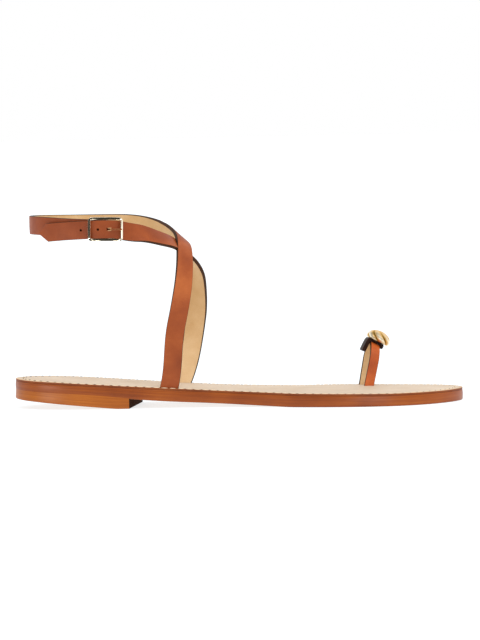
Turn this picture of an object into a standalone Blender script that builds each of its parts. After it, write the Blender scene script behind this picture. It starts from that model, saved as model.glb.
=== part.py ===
"""Flat leather sandal for the right foot: wrapped ankle strap, centre-bar buckle and toe loop."""
import math

import bmesh
import bpy
import numpy as np

MM = 0.001

# Driving dimensions, in millimetres: x from the heel's back to the toe tip,
# y towards the inner side of the foot, z up from the floor.
LENGTH = 246.0
BALL_WIDTH = 79.0
GAP = 0.3
SOLE_EDGE_ROUND = 0.5
SIDE_POINTS = 48

# Outline of the sole, once round from the heel's back along the outer side:
# share of the length, share of the ball's width.
OUTLINE = (
    (0.000, 0.000), (0.028, -0.215), (0.098, -0.323), (0.195, -0.342), (0.366, -0.312),
    (0.528, -0.350), (0.663, -0.450), (0.772, -0.495), (0.866, -0.457), (0.947, -0.295),
    (1.000, 0.030),
    (0.988, 0.215), (0.935, 0.360), (0.833, 0.440), (0.732, 0.465), (0.610, 0.375),
    (0.467, 0.292), (0.366, 0.300), (0.195, 0.338), (0.098, 0.321), (0.028, 0.215),
)
TOE_TIP_ROW = 10

# Side view of the sole: share of the length, height of its rim, height of its underside.
SOLE_HEIGHTS = (
    (0.000, 16.2, 10.0), (0.100, 14.9, 8.7), (0.190, 13.5, 7.2), (0.265, 12.2, 5.3),
    (0.350, 10.8, 3.6), (0.460, 9.2, 2.2), (0.580, 7.9, 0.6), (0.640, 7.4, 0.0),
    (0.750, 7.1, 0.0), (0.900, 6.8, 0.0), (1.000, 6.9, 0.2),
)

# Heel lift: share of the length, height of its underside; then its front face on each side.
HEEL_UNDER = (
    (0.000, 5.3), (0.060, 4.1), (0.130, 2.5), (0.190, 1.1), (0.225, 0.3), (0.242, 0.0), (0.280, 0.0),
)
BREAST_OUTER = 65.2
BREAST_INNER = 67.2
HEEL_TAPER = -0.3
HEEL_POINTS = 22

# Insole: a leather sock flush with the outsole's edge, with a slight crown.
# Section rows from underside to middle: inset from its edge, height over the sole's rim.
INSOLE_THICK = 1.0
INSOLE_INSET = 0.1
INSOLE_SECTION = ((0.3, -0.7), (0.0, -0.5), (0.0, -0.1), (0.5, 0.12), (7.0, 0.45), (16.0, 0.8))
SLOT_CLEARANCE = 0.4
SLOT_REACH = (-5.0, 7.0)

# Last under the straps: height, back, front and half width of its oval section.
LAST = (
    (8, 5.0, 183.0, 21.3), (30, 7.0, 153.0, 25.0), (50, 9.0, 125.0, 27.0), (70, 10.0, 106.0, 28.3),
    (82, 10.4, 97.5, 29.4), (90, 10.6, 92.5, 30.0), (104, 10.6, 86.0, 30.5),
)

# Straps: width, thickness, and each one's course over the last.
# Columns: turn in degrees from the toe towards the inner side, height, lift off the last, tilt upwards.
STRAP_WIDTH = 10.0
STRAP_THICK = 1.9
STRAP_ROUND = 0.45
STRAP_STEP = 4.0
OUTER_STRAP = (
    (-93.1, 11.5, 0.0, 0.0), (-82.2, 30.0, 0.0, 0.0), (-63.5, 50.0, 0.0, 0.0), (-38.6, 70.0, 0.8, 0.19),
    (-20.5, 82.0, 1.4, 0.45), (-4.0, 88.7, 1.4, 0.58), (20.0, 93.6, 0.6, 0.46), (50.0, 97.3, 0.1, 0.06),
    (63.0, 98.7, 0.0, 0.0), (90.0, 99.5, 0.0, 0.0), (125.0, 99.8, 0.0, 0.0), (160.0, 100.4, 0.0, 0.0),
    (200.0, 100.6, 0.0, 0.0), (225.0, 100.4, 0.0, 0.0), (250.0, 99.6, 0.0, 0.0), (268.5, 99.05, 0.0, 0.0),
)
INNER_STRAP = (
    (91.3, 11.3, 0.0, 0.0), (77.8, 30.0, 0.0, 0.0), (56.8, 50.0, 0.0, 0.02), (35.4, 65.5, 0.0, 0.20),
    (17.0, 76.1, 0.3, 0.36), (5.0, 83.0, 0.0, 0.30), (-5.0, 86.9, -0.3, 0.20), (-14.0, 89.1, -0.3, 0.30),
    (-26.0, 90.9, -0.1, 0.55), (-36.0, 92.4, 0.2, 0.60), (-45.0, 94.1, 0.5, 0.55), (-52.5, 95.4, 0.8, 0.42),
    (-60.6, 96.7, 1.0, 0.15), (-69.2, 98.25, 1.65, 0.0), (-75.6, 98.75, 2.9, 0.0), (-82.0, 99.0, 3.4, 0.0),
    (-88.4, 99.15, 2.9, 0.0), (-94.8, 99.05, 2.15, 0.0), (-121.5, 98.0, 2.15, 0.0), (-140.5, 96.9, 2.15, 0.0),
)

# The inner strap is broader on its riser: turn of the broadest place, spread in degrees, extra width.
INNER_SPREAD = (55.0, 26.0, 1.5)
TIP_LENGTH = 5.8
TIP_HALF_WIDTH = 0.6

# Buckle, in its own frame on the last: forward, outward and up.
BUCKLE_TURN = -82.0
BUCKLE_HEIGHT = 98.9
BUCKLE_LENGTH = 18.6
BUCKLE_WIDTH = 13.4
BUCKLE_WIRE = 1.4
BUCKLE_CORNER = 1.2
BUCKLE_DIP = 0.04
RAIL_STATIONS = (-4.0, 0.0, 4.0)
BAR_OUT = 0.6
BAR_RADIUS = 0.65
BOW_OUT = 2.95
TURN_LENGTH = 38.0

# Folded strap end round the centre bar: forward, outward, thickness; then its round eye.
EYE_LEAD = ((-6.3, -0.42, 1.9), (-4.2, -0.42, 1.6), (-2.2, -0.50, 1.1), (-0.9, -0.58, 0.75))
EYE_RADIUS = 1.2
EYE_WALL = 0.7
EYE_END = 500
EYE_SLOT_WIDTH = 2.3
EYE_SLOT_FORWARD = (-1.9, 2.2)
EYE_SLOT_OUT = (-1.6, 2.35)

# Prong: a ring on the centre bar, and a tongue along (forward, outward) points.
PRONG_RING = (0.95, 1.55)
PRONG_WIDTH = 1.7
PRONG_WIRE = 0.9
PRONG_TONGUE = (
    (1.1, 0.9), (1.5, 1.8), (2.1, 3.2), (2.9, 4.5), (4.2, 5.05), (6.0, 5.15), (8.0, 5.1), (9.1, 5.0),
)
PRONG_SLOT = (0.7, 3.9)
PRONG_SLOT_OUT = (1.6, 6.0)
PRONG_SLOT_WIDTH = 1.7
HOLE_PITCH = 4.45
HOLE_FIRST = -3.7
HOLE_COUNT = 3
HOLE_RADIUS = 0.8
PUNCH_PAST = 0.12

# Toe loop: feet on the sole, straight legs and a round arch that leans to the toe.
LOOP_OUTER_FOOT = (194.0, 13.5)
LOOP_INNER_FOOT = (189.9, 33.0)
LOOP_BASE = 7.4
LOOP_LEG = 12.5
LOOP_RISE = 9.3
LOOP_LEAN = 0.20
LOOP_LEAN_MORE = 0.02
LOOP_TWIST = 17.0
LOOP_WIDTH = 5.3
LOOP_THICK = 1.6
LOOP_ARCH_POINTS = 19
LOOP_LEG_POINTS = 4

# Keeper over the loop's crest, seen from its end: forward, outward.
KEEPER_HALF_LENGTH = 4.0
KEEPER_SECTION = (
    (-5.2, 1.3), (-5.3, -5.2), (-2.95, -5.2), (-2.95, 1.1), (2.95, 1.1),
    (2.95, -1.6), (4.8, -1.6), (5.2, 1.2), (4.2, 2.6), (-4.0, 2.6),
)

# Ornament: a ribbed dome on the keeper.
DOME_BASE = 2.9
DOME_FORWARD = 1.1
DOME_RADII = (6.5, 6.2, 4.1)
DOME_START = -25.0
DOME_END = 86.0
DOME_LEVELS = 11
DOME_RIBS = 6
DOME_SIDES = 36
DOME_RIB_DEPTH = 0.08
DOME_SWIRL = 0.9

# Colours on the 0 to 255 scale, roughness and metal share.
FINISHES = {
    "sole_leather": ((150, 80, 40), 0.45, 0.0),
    "heel_leather": ((188, 108, 48), 0.5, 0.0),
    "insole_leather": ((233, 214, 190), 0.6, 0.0),
    "strap_leather": ((172, 87, 50), 0.5, 0.0),
    "edge_leather": ((75, 45, 25), 0.5, 0.0),
    "gold_metal": ((240, 195, 110), 0.2, 1.0),
}


def unit(vectors):
    """Vectors scaled to length 1."""
    vectors = np.asarray(vectors, float)
    return vectors / np.linalg.norm(vectors, axis=-1, keepdims=True)


def spline(knots, values, closed=False):
    """Smooth cubic curve through the rows of a table; a closed one ends as it starts."""
    knots = np.asarray(knots, float)
    values = np.asarray(values, float).reshape(len(knots), -1)
    gaps = np.diff(knots)
    slopes = np.diff(values, axis=0) / gaps[:, None]
    matrix = np.eye(len(knots))
    target = np.zeros_like(values)
    for row in range(1, len(knots) - 1):
        matrix[row, row - 1:row + 2] = gaps[row - 1], 2 * (gaps[row - 1] + gaps[row]), gaps[row]
        target[row] = 6 * (slopes[row] - slopes[row - 1])
    if closed:
        matrix[0, 0] = 2 * (gaps[0] + gaps[-1])
        matrix[0, 1] = gaps[0]
        matrix[0, -2] = gaps[-1]
        target[0] = 6 * (slopes[0] - slopes[-1])
        matrix[-1, 0] = -1
    bend = np.linalg.solve(matrix, target)

    def at(place):
        place = np.atleast_1d(place)
        low = np.clip(np.searchsorted(knots, place) - 1, 0, len(gaps) - 1)
        gap = gaps[low][:, None]
        after = (place - knots[low])[:, None]
        before = gap - after
        curve = (bend[low] * before ** 3 + bend[low + 1] * after ** 3) / (6 * gap)
        start = values[low] / gap - bend[low] * gap / 6
        end = values[low + 1] / gap - bend[low + 1] * gap / 6
        return curve + start * before + end * after

    return at


def profile(rows, column):
    """Curve through one column of a table that keeps flat stretches flat."""
    knots = np.array([row[0] for row in rows])
    values = np.array([row[column] for row in rows])
    slopes = np.diff(values) / np.diff(knots)
    tangents = np.concatenate((slopes[:1], np.zeros(len(slopes) - 1), slopes[-1:]))
    for row in range(1, len(slopes)):
        if slopes[row - 1] * slopes[row] > 0:
            tangents[row] = 2 / (1 / slopes[row - 1] + 1 / slopes[row])

    def at(place):
        place = np.asarray(place, float)
        low = np.clip(np.searchsorted(knots, place) - 1, 0, len(slopes) - 1)
        gap = knots[low + 1] - knots[low]
        share = np.clip((place - knots[low]) / gap, 0, 1)
        ease = share * share * (3 - 2 * share)
        lead = share * (1 - share) ** 2
        tail = -share * share * (1 - share)
        level = values[low] + ease * (values[low + 1] - values[low])
        return level + gap * (lead * tangents[low] + tail * tangents[low + 1])

    return at


def outline_curve():
    """Sole outline by station: heel back 0, toe tip 1 along the outer side, heel back 2."""
    points = np.array(OUTLINE + OUTLINE[:1]) * (LENGTH, BALL_WIDTH)
    steps = np.concatenate(([0], np.cumsum(np.linalg.norm(np.diff(points, axis=0), axis=1))))
    tip = steps[TOE_TIP_ROW]
    stations = np.where(steps <= tip, steps / tip, 1 + (steps - tip) / (steps[-1] - tip))
    return spline(stations, points, closed=True)


EDGE = outline_curve()
RIM = profile(SOLE_HEIGHTS, 1)
UNDER = profile(SOLE_HEIGHTS, 2)
HEEL_FLOOR = profile(HEEL_UNDER, 1)


def inset_edge(stations, inset):
    """Outline points moved in by an inset."""
    nudge = 1e-4
    along = unit(EDGE(stations + nudge) - EDGE(stations - nudge))
    inward = np.column_stack((-along[:, 1], along[:, 0]))
    return EDGE(stations) + inset * inward


def station_at(reaches, inner):
    """Stations on one side of the outline at distances from the heel's back."""
    stations = np.linspace(2, 1, 1200) if inner else np.linspace(0, 1, 1200)
    grown = np.maximum.accumulate(EDGE(stations)[:, 0])
    return np.interp(reaches, grown, stations)


def whole_stations():
    """Stations all round the sole, paired side to side across its length."""
    angles = np.arange(SIDE_POINTS + 1) * math.pi / SIDE_POINTS
    reaches = LENGTH * (1 - np.cos(angles)) / 2
    outer = station_at(reaches[1:-1], inner=False)
    inner = station_at(reaches[-2:0:-1], inner=True)
    return np.concatenate(([0.0], outer, [1.0], inner))


def sole_ring(stations, inset, height, extra=0.0):
    """One ring of the sole at an inset and at a height that follows the length."""
    flat = inset_edge(stations, inset)
    return np.column_stack((flat, height(flat[:, 0] / LENGTH) + extra))


def loft(rings, ends="paired"):
    """Points and faces through equal rings; the ends are paired side to side, flat, or wrapped round."""
    size = len(rings[0])
    wrap = ends == "wrapped"
    faces = []
    for row in range(len(rings) if wrap else len(rings) - 1):
        low = row * size
        high = (row + 1) % len(rings) * size
        for near in range(size):
            far = (near + 1) % size
            faces.append((low + near, low + far, high + far, high + near))
    for first in () if wrap else (0, (len(rings) - 1) * size):
        if ends == "flat":
            faces.append(tuple(range(first, first + size)))
            continue
        for near in range(size // 2):
            corners = (near, near + 1, size - near - 1, (size - near) % size)
            faces.append(tuple(first + corner for corner in dict.fromkeys(corners)))
    return np.concatenate(rings), faces


def solid(name, shapes, finish, parent, helper=False):
    """Object made of one or more closed shapes; a helper only cuts or joins another object."""
    bm = bmesh.new()
    for points, faces in shapes:
        verts = [bm.verts.new(point * MM) for point in points]
        for face in faces:
            bm.faces.new([verts[index] for index in face])
    bm.normal_update()
    bmesh.ops.triangulate(bm, faces=bm.faces)
    bmesh.ops.recalc_face_normals(bm, faces=bm.faces)
    mesh = bpy.data.meshes.new(name)
    bm.to_mesh(mesh)
    bm.free()
    mesh.materials.append(bpy.data.materials[finish])
    mesh.shade_smooth()
    mesh.set_sharp_from_angle(angle=math.radians(35))
    obj = bpy.data.objects.new(name, mesh)
    bpy.context.collection.objects.link(obj)
    obj.parent = parent
    if helper:
        obj.hide_render = True
        obj.display_type = "WIRE"
    return obj


def combine(obj, tool, operation):
    """Join a helper to an object, or cut it away."""
    modifier = obj.modifiers.new(tool.name, "BOOLEAN")
    modifier.operation = operation
    modifier.object = tool
    modifier.solver = "EXACT"


def sweep_rings(points, outs, widths, thicks, wrap=False):
    """Rounded flat sections along a line of points, each facing its outward direction."""
    if wrap:
        along = unit(np.roll(points, -1, axis=0) - np.roll(points, 1, axis=0))
    else:
        along = unit(np.gradient(points, axis=0))
    outs = unit(outs - along * np.sum(outs * along, axis=1, keepdims=True))
    across = np.cross(outs, along)
    rings = []
    for point, out, side, width, thick in zip(points, outs, across, widths, thicks):
        half = width / 2
        deep = thick / 2
        turn = min(STRAP_ROUND, 0.45 * thick, 0.45 * width)
        section = (
            (half, -deep + turn), (half, deep - turn), (half - turn, deep), (turn - half, deep),
            (-half, deep - turn), (-half, turn - deep), (turn - half, -deep), (half - turn, -deep),
        )
        rings.append(np.array([point + side * wide + out * high for wide, high in section]))
    return rings


def seat_foot(rings, end, beside):
    """Slide one end ring along its strap until it stands just over the outsole."""
    along = unit(np.mean(rings[beside], axis=0) - np.mean(rings[end], axis=0))
    floor = RIM(rings[end][:, 0] / LENGTH) - INSOLE_THICK + GAP
    rings[end] = rings[end] + along * ((floor - rings[end][:, 2]) / along[2])[:, None]


def block(origin, axes, spans):
    """Box in a local frame: its span along each of three axes."""
    (left, right), (low, high), (near, far) = spans
    rings = []
    for reach in (near, far):
        corners = ((left, low), (right, low), (right, high), (left, high))
        rings.append(np.array([origin + axes[0] * a + axes[1] * b + axes[2] * reach for a, b in corners]))
    return loft(rings)


def rod(origin, axes, radius, near, far, sides=12):
    """Round bar along the third axis of a local frame."""
    angles = np.arange(sides) * 2 * math.pi / sides
    round_ring = np.outer(np.cos(angles), axes[0]) + np.outer(np.sin(angles), axes[1])
    return loft([origin + radius * round_ring + axes[2] * reach for reach in (near, far)])


LAST_SECTION = spline([row[0] for row in LAST], [row[1:] for row in LAST])


def last_point(turn, height):
    """Point on the last, where the straps' middle lies."""
    back, front, half = LAST_SECTION(height)[0]
    angle = math.radians(turn)
    reach = (front - back) / 2
    return np.array(((back + front) / 2 + reach * math.cos(angle), half * math.sin(angle), height))


def last_frame(turn, height):
    """Point on the last, its direction of growing turn and its outward direction."""
    nudge = 0.05
    round_it = last_point(turn + nudge, height) - last_point(turn - nudge, height)
    up_it = last_point(turn, height + nudge) - last_point(turn, height - nudge)
    return last_point(turn, height), unit(round_it), unit(np.cross(round_it, up_it))


def strap_course(rows):
    """Strap's height, lift and tilt by turn."""
    ordered = sorted(rows)
    return spline([row[0] for row in ordered], [row[1:] for row in ordered])


def strap_place(course, turn):
    """Point on a strap's middle line and its outward direction."""
    height, lift, tilt = course(turn)[0]
    point, _, out = last_frame(turn, height)
    return point + lift * out, unit(out + (0.0, 0.0, tilt))


def strap_line(rows, tip=0.0):
    """Points along a strap with their outward directions and turns, closer together in its tip."""
    course = strap_course(rows)
    fine_turns = np.linspace(rows[0][0], rows[-1][0], 400)
    fine = np.array([strap_place(course, turn)[0] for turn in fine_turns])
    run = np.concatenate(([0], np.cumsum(np.linalg.norm(np.diff(fine, axis=0), axis=1))))
    body = run[-1] - tip
    places = np.linspace(0, body, round(body / STRAP_STEP))
    if tip:
        places = np.concatenate((places, body + tip * np.array((0.33, 0.67, 1.0))))
    turns = np.interp(places, run, fine_turns)
    line = [strap_place(course, turn) for turn in turns]
    return np.array([place[0] for place in line]), np.array([place[1] for place in line]), turns


def buckle_frame_axes():
    """Buckle's origin on the last and its forward, outward and up directions."""
    origin, level, out = last_frame(BUCKLE_TURN, BUCKLE_HEIGHT)
    forward = unit(level - BUCKLE_DIP * np.cross(out, level))
    return origin, (forward, out, np.cross(out, forward))


BUCKLE_AT, BUCKLE_AXES = buckle_frame_axes()


def on_buckle(forward, outward, up=0.0):
    """World point of a place in the buckle's frame."""
    return BUCKLE_AT + forward * BUCKLE_AXES[0] + outward * BUCKLE_AXES[1] + up * BUCKLE_AXES[2]


def eye_sections():
    """Folded end of the outer strap round the centre bar."""
    angles = np.radians(np.arange(270, EYE_END + 1, 23))
    lead = [row[:2] for row in EYE_LEAD]
    turned = [(EYE_RADIUS * math.cos(a), BAR_OUT + EYE_RADIUS * math.sin(a)) for a in angles]
    flat = np.array(lead + turned)
    along = unit(np.gradient(flat, axis=0))
    points = np.array([on_buckle(*place) for place in flat])
    outs = np.array([on_buckle(-step[1], step[0]) - BUCKLE_AT for step in along])
    thicks = [row[2] for row in EYE_LEAD] + [EYE_WALL] * len(turned)
    return points, outs, thicks


def make_outsole(parent):
    """Full-length leather outsole with an eased edge."""
    stations = whole_stations()
    rings = [
        sole_ring(stations, SOLE_EDGE_ROUND, UNDER),
        sole_ring(stations, 0.0, UNDER, SOLE_EDGE_ROUND),
        sole_ring(stations, 0.0, RIM, -INSOLE_THICK - SOLE_EDGE_ROUND),
        sole_ring(stations, SOLE_EDGE_ROUND, RIM, -INSOLE_THICK),
    ]
    solid("outsole", [loft(rings)], "sole_leather", parent)


def make_heel(parent):
    """Low stacked lift under the heel seat, a little larger at the floor."""
    eased = 1 - np.cos(np.arange(1, HEEL_POINTS + 1) * math.pi / 2 / HEEL_POINTS)
    outer = station_at(BREAST_OUTER * eased, inner=False)
    inner = station_at(BREAST_INNER * eased[::-1], inner=True)
    stations = np.concatenate(([0.0], outer, inner))
    rings = [
        sole_ring(stations, HEEL_TAPER + SOLE_EDGE_ROUND, HEEL_FLOOR),
        sole_ring(stations, HEEL_TAPER, HEEL_FLOOR, SOLE_EDGE_ROUND),
        sole_ring(stations, 0.0, UNDER, -GAP),
    ]
    solid("heel", [loft(rings)], "heel_leather", parent)


def slot_cutter(points, outs, width, thick):
    """Box round the foot of a strap, for its slot in the insole."""
    along = unit(points[1] - points[0])
    out = unit(outs[0] - along * np.dot(outs[0], along))
    half = width / 2 + SLOT_CLEARANCE
    deep = thick / 2 + SLOT_CLEARANCE
    axes = (np.cross(out, along), out, along)
    return block(points[0], axes, ((-half, half), (-deep, deep), SLOT_REACH))


def make_insole(parent, cutters):
    """Crowned leather sock with slots for the straps and the toe loop."""
    stations = whole_stations()
    rings = [sole_ring(stations, INSOLE_INSET + inset, RIM, height) for inset, height in INSOLE_SECTION]
    insole = solid("insole", [loft(rings)], "insole_leather", parent)
    combine(insole, solid("strap_slots", cutters, "insole_leather", parent, helper=True), "DIFFERENCE")


def strap_lines():
    """Both straps' lines: the outer one ends in its eye, the inner one in a point."""
    points, outs, _ = strap_line(OUTER_STRAP)
    eye_points, eye_outs, eye_thicks = eye_sections()
    outer = (
        np.concatenate((points[:-1], eye_points)), np.concatenate((outs[:-1], eye_outs)),
        [STRAP_THICK] * (len(points) - 1) + eye_thicks,
    )
    points, outs, turns = strap_line(INNER_STRAP, TIP_LENGTH)
    return outer, (points, outs, inner_widths(points, turns))


def inner_widths(points, turns):
    """Inner strap's width along its line: broader on the riser, and narrowing to a point at the end."""
    middle, spread, extra = INNER_SPREAD
    widths = STRAP_WIDTH + extra * np.exp(-((turns - middle) / spread) ** 2)
    left = np.linalg.norm(points - points[-1], axis=1)
    slope = (STRAP_WIDTH / 2 - TIP_HALF_WIDTH) / TIP_LENGTH
    return np.minimum(widths, 2 * (TIP_HALF_WIDTH + slope * left))


def hole_cutters():
    """Punches through the inner strap: the prong's slot and a row of round holes."""
    half = PRONG_SLOT_WIDTH / 2
    cutters = [block(BUCKLE_AT, BUCKLE_AXES, (PRONG_SLOT, PRONG_SLOT_OUT, (-half, half)))]
    course = strap_course(INNER_STRAP)
    reach = STRAP_THICK / 2 + PUNCH_PAST
    for hole in range(HOLE_COUNT):
        forward = HOLE_FIRST - hole * HOLE_PITCH
        turn = BUCKLE_TURN + math.degrees(forward / TURN_LENGTH)
        point, out = strap_place(course, turn)
        up = BUCKLE_AXES[2]
        cutters.append(rod(point, (np.cross(up, out), up, out), HOLE_RADIUS, -reach, reach))
    return cutters


def make_upper(parent, outer, inner):
    """The two straps, joined where they cross over the instep."""
    points, outs, thicks = outer
    rings = sweep_rings(points, outs, [STRAP_WIDTH] * len(points), thicks)
    seat_foot(rings, 0, 1)
    upper = solid("upper", [loft(rings)], "strap_leather", parent)
    half = EYE_SLOT_WIDTH / 2
    slot = block(BUCKLE_AT, BUCKLE_AXES, (EYE_SLOT_FORWARD, EYE_SLOT_OUT, (-half, half)))
    combine(upper, solid("eye_slot", [slot], "strap_leather", parent, helper=True), "DIFFERENCE")

    points, outs, widths = inner
    rings = sweep_rings(points, outs, widths, [STRAP_THICK] * len(points))
    seat_foot(rings, 0, 1)
    strap = solid("inner_strap", [loft(rings)], "strap_leather", parent, helper=True)
    holes = solid("punched_holes", hole_cutters(), "strap_leather", parent, helper=True)
    combine(strap, holes, "DIFFERENCE")
    combine(upper, strap, "UNION")


def make_buckle(parent):
    """Bowed rectangular frame with a centre bar, and the prong on that bar."""
    length = (BUCKLE_LENGTH - BUCKLE_WIRE) / 2
    width = (BUCKLE_WIDTH - BUCKLE_WIRE) / 2
    flat = []
    for corner, (side, level) in enumerate(((1, 1), (-1, 1), (-1, -1), (1, -1))):
        centre = np.array((side * (length - BUCKLE_CORNER), level * (width - BUCKLE_CORNER)))
        for step in range(5):
            angle = math.radians(90 * corner + 22.5 * step)
            flat.append(centre + BUCKLE_CORNER * np.array((math.cos(angle), math.sin(angle))))
        if level == side:
            flat += [np.array((-side * reach, level * width)) for reach in RAIL_STATIONS]
    flat = np.array(flat)
    bow = BAR_OUT + BOW_OUT * (flat[:, 0] / length) ** 2
    points = np.array([on_buckle(place[0], out, place[1]) for place, out in zip(flat, bow)])
    wire = [BUCKLE_WIRE] * len(points)
    rings = sweep_rings(points, np.array([BUCKLE_AXES[1]] * len(points)), wire, wire, wrap=True)
    frame = solid("buckle_frame", [loft(rings, ends="wrapped")], "gold_metal", parent)
    bar = rod(on_buckle(0, BAR_OUT), BUCKLE_AXES, BAR_RADIUS, -width, width)
    combine(frame, solid("centre_bar", [bar], "gold_metal", parent, helper=True), "UNION")

    half = PRONG_WIDTH / 2
    small, large = PRONG_RING
    section = ((small, -half), (small, half), (large, half), (large, -half))
    rings = []
    for angle in np.radians(np.arange(0, 360, 22.5)):
        place = [(reach * math.cos(angle), BAR_OUT + reach * math.sin(angle), up) for reach, up in section]
        rings.append(np.array([on_buckle(*spot) for spot in place]))
    prong = solid("buckle_prong", [loft(rings, ends="wrapped")], "gold_metal", parent)
    points = np.array([on_buckle(*place) for place in PRONG_TONGUE])
    wire = [PRONG_WIRE] * len(points)
    rings = sweep_rings(points, np.array([BUCKLE_AXES[1]] * len(points)), wire, wire)
    combine(prong, solid("tongue", [loft(rings)], "gold_metal", parent, helper=True), "UNION")


def loop_line():
    """Toe loop's middle line with its outward directions."""
    start = np.array((*LOOP_OUTER_FOOT, LOOP_BASE))
    span = np.array((*LOOP_INNER_FOOT, LOOP_BASE)) - start
    half = np.linalg.norm(span) / 2
    over = unit(span)
    rise = np.array((LOOP_LEAN, 0.0, 1.0))
    places = [(-half, high, 0.0) for high in np.linspace(0, LOOP_LEG, LOOP_LEG_POINTS)[:-1]]
    for angle in np.radians(np.linspace(0, 180, LOOP_ARCH_POINTS)):
        places.append((-half * math.cos(angle), LOOP_LEG + LOOP_RISE * math.sin(angle), math.sin(angle)))
    places += [(half, high, 0.0) for high in np.linspace(LOOP_LEG, 0, LOOP_LEG_POINTS)[1:]]
    more = np.array((-LOOP_LEAN_MORE / half, 0.0, 0.0))
    middle = start + span / 2
    points = np.array([middle + over * side + (rise + more * side) * high for side, high, _ in places])
    along = unit(np.gradient(points, axis=0))
    forward = unit(np.cross(over, rise))
    outs = np.cross(forward, along)
    twist = np.radians(LOOP_TWIST * np.array([place[2] for place in places]))[:, None]
    outs = outs * np.cos(twist) + np.cross(outs, along) * -np.sin(twist)
    return points, outs


def make_toe_loop(parent, points, outs):
    """Narrow leather loop that the big toe passes through."""
    rings = sweep_rings(points, outs, [LOOP_WIDTH] * len(points), [LOOP_THICK] * len(points))
    seat_foot(rings, 0, 1)
    seat_foot(rings, -1, -2)
    solid("toe_loop", [loft(rings)], "strap_leather", parent)


def crest_frame(points, outs):
    """Origin and forward, outward and crosswise directions at the loop's crest."""
    crest = len(points) // 2
    along = unit(points[crest + 1] - points[crest - 1])
    return points[crest], (np.cross(along, outs[crest]), outs[crest], along)


def make_toe_trim(parent, origin, axes):
    """Leather keeper folded over the crest, and the ribbed dome on it."""
    rings = []
    for reach in (-KEEPER_HALF_LENGTH, KEEPER_HALF_LENGTH):
        section = [origin + axes[0] * a + axes[1] * b + axes[2] * reach for a, b in KEEPER_SECTION]
        rings.append(np.array(section))
    solid("toe_keeper", [loft(rings, ends="flat")], "edge_leather", parent)

    rings = []
    start = math.radians(DOME_START)
    centre = origin + axes[0] * DOME_FORWARD + axes[1] * (DOME_BASE - DOME_RADII[2] * math.sin(start))
    angles = np.arange(DOME_SIDES) * 2 * math.pi / DOME_SIDES
    for rise in np.linspace(start, math.radians(DOME_END), DOME_LEVELS):
        ribs = 1 + DOME_RIB_DEPTH * np.cos(DOME_RIBS * (angles + DOME_SWIRL * rise)) * math.cos(rise)
        reach = math.cos(rise) * ribs
        flat = np.outer(reach * np.cos(angles) * DOME_RADII[0], axes[0])
        flat += np.outer(reach * np.sin(angles) * DOME_RADII[1], axes[2])
        rings.append(centre + flat + axes[1] * DOME_RADII[2] * math.sin(rise))
    solid("toe_ornament", [loft(rings)], "gold_metal", parent)


def make_materials():
    """One plain finish for each kind of surface."""
    for name, (colour, roughness, metallic) in FINISHES.items():
        material = bpy.data.materials.new(name)
        material.use_nodes = True
        shader = material.node_tree.nodes["Principled BSDF"]
        shade = [(value / 255) ** 2.2 for value in colour]
        shader.inputs["Base Color"].default_value = (*shade, 1.0)
        shader.inputs["Roughness"].default_value = roughness
        shader.inputs["Metallic"].default_value = metallic


def make_parent():
    """Empty that sets the sole's middle over the origin."""
    edge = EDGE(np.linspace(0, 2, 800))
    middle = (edge.min(axis=0) + edge.max(axis=0)) / 2
    parent = bpy.data.objects.new("sandal", None)
    parent.location = (-middle[0] * MM, -middle[1] * MM, 0.0)
    bpy.context.collection.objects.link(parent)
    return parent


def main():
    for obj in list(bpy.data.objects):
        bpy.data.objects.remove(obj, do_unlink=True)
    make_materials()
    parent = make_parent()
    outer, inner = strap_lines()
    loop = loop_line()
    far_foot = (loop[0][::-1], loop[1][::-1])
    cutters = [slot_cutter(line[0], line[1], STRAP_WIDTH, STRAP_THICK) for line in (outer, inner)]
    cutters += [slot_cutter(*line, LOOP_WIDTH, LOOP_THICK) for line in (loop, far_foot)]
    make_outsole(parent)
    make_heel(parent)
    make_insole(parent, cutters)
    make_upper(parent, outer, inner)
    make_buckle(parent)
    make_toe_loop(parent, *loop)
    make_toe_trim(parent, *crest_frame(*loop))


main()
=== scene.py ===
"""Looks of a flat toe-ring sandal with a wrapped ankle strap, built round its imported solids."""
from math import ceil, cos, degrees, exp, pi, radians, sin

import bmesh
import bpy
import numpy as np
from mathutils import Matrix, Vector


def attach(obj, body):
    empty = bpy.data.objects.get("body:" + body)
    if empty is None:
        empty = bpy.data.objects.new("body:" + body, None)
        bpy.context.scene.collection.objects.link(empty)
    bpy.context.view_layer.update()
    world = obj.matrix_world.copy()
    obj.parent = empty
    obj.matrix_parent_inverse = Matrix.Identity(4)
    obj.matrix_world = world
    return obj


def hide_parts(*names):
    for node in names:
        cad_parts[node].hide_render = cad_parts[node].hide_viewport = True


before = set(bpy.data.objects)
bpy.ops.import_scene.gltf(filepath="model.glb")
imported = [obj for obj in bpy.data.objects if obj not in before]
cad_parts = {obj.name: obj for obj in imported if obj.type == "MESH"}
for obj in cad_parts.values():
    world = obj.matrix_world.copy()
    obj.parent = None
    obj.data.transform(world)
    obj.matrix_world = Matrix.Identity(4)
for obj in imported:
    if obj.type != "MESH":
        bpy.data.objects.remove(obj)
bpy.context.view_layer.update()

MM = 0.001

# Sizes are in millimetres: x from the heel's back to the toe, y towards the inner side, z up.

# Numbers of points at which curves are measured.
OUTLINE_SAMPLES = 800
STATION_SAMPLES = 1200
STRAP_SAMPLES = 600
SEAM_SAMPLES = 4000

# Angles in degrees up to which neighbouring faces shade as one: leather, metal, ornament.
SMOOTH_ANGLE = 40.0
METAL_SMOOTH = 30.0
DOME_SMOOTH = 60.0

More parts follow.
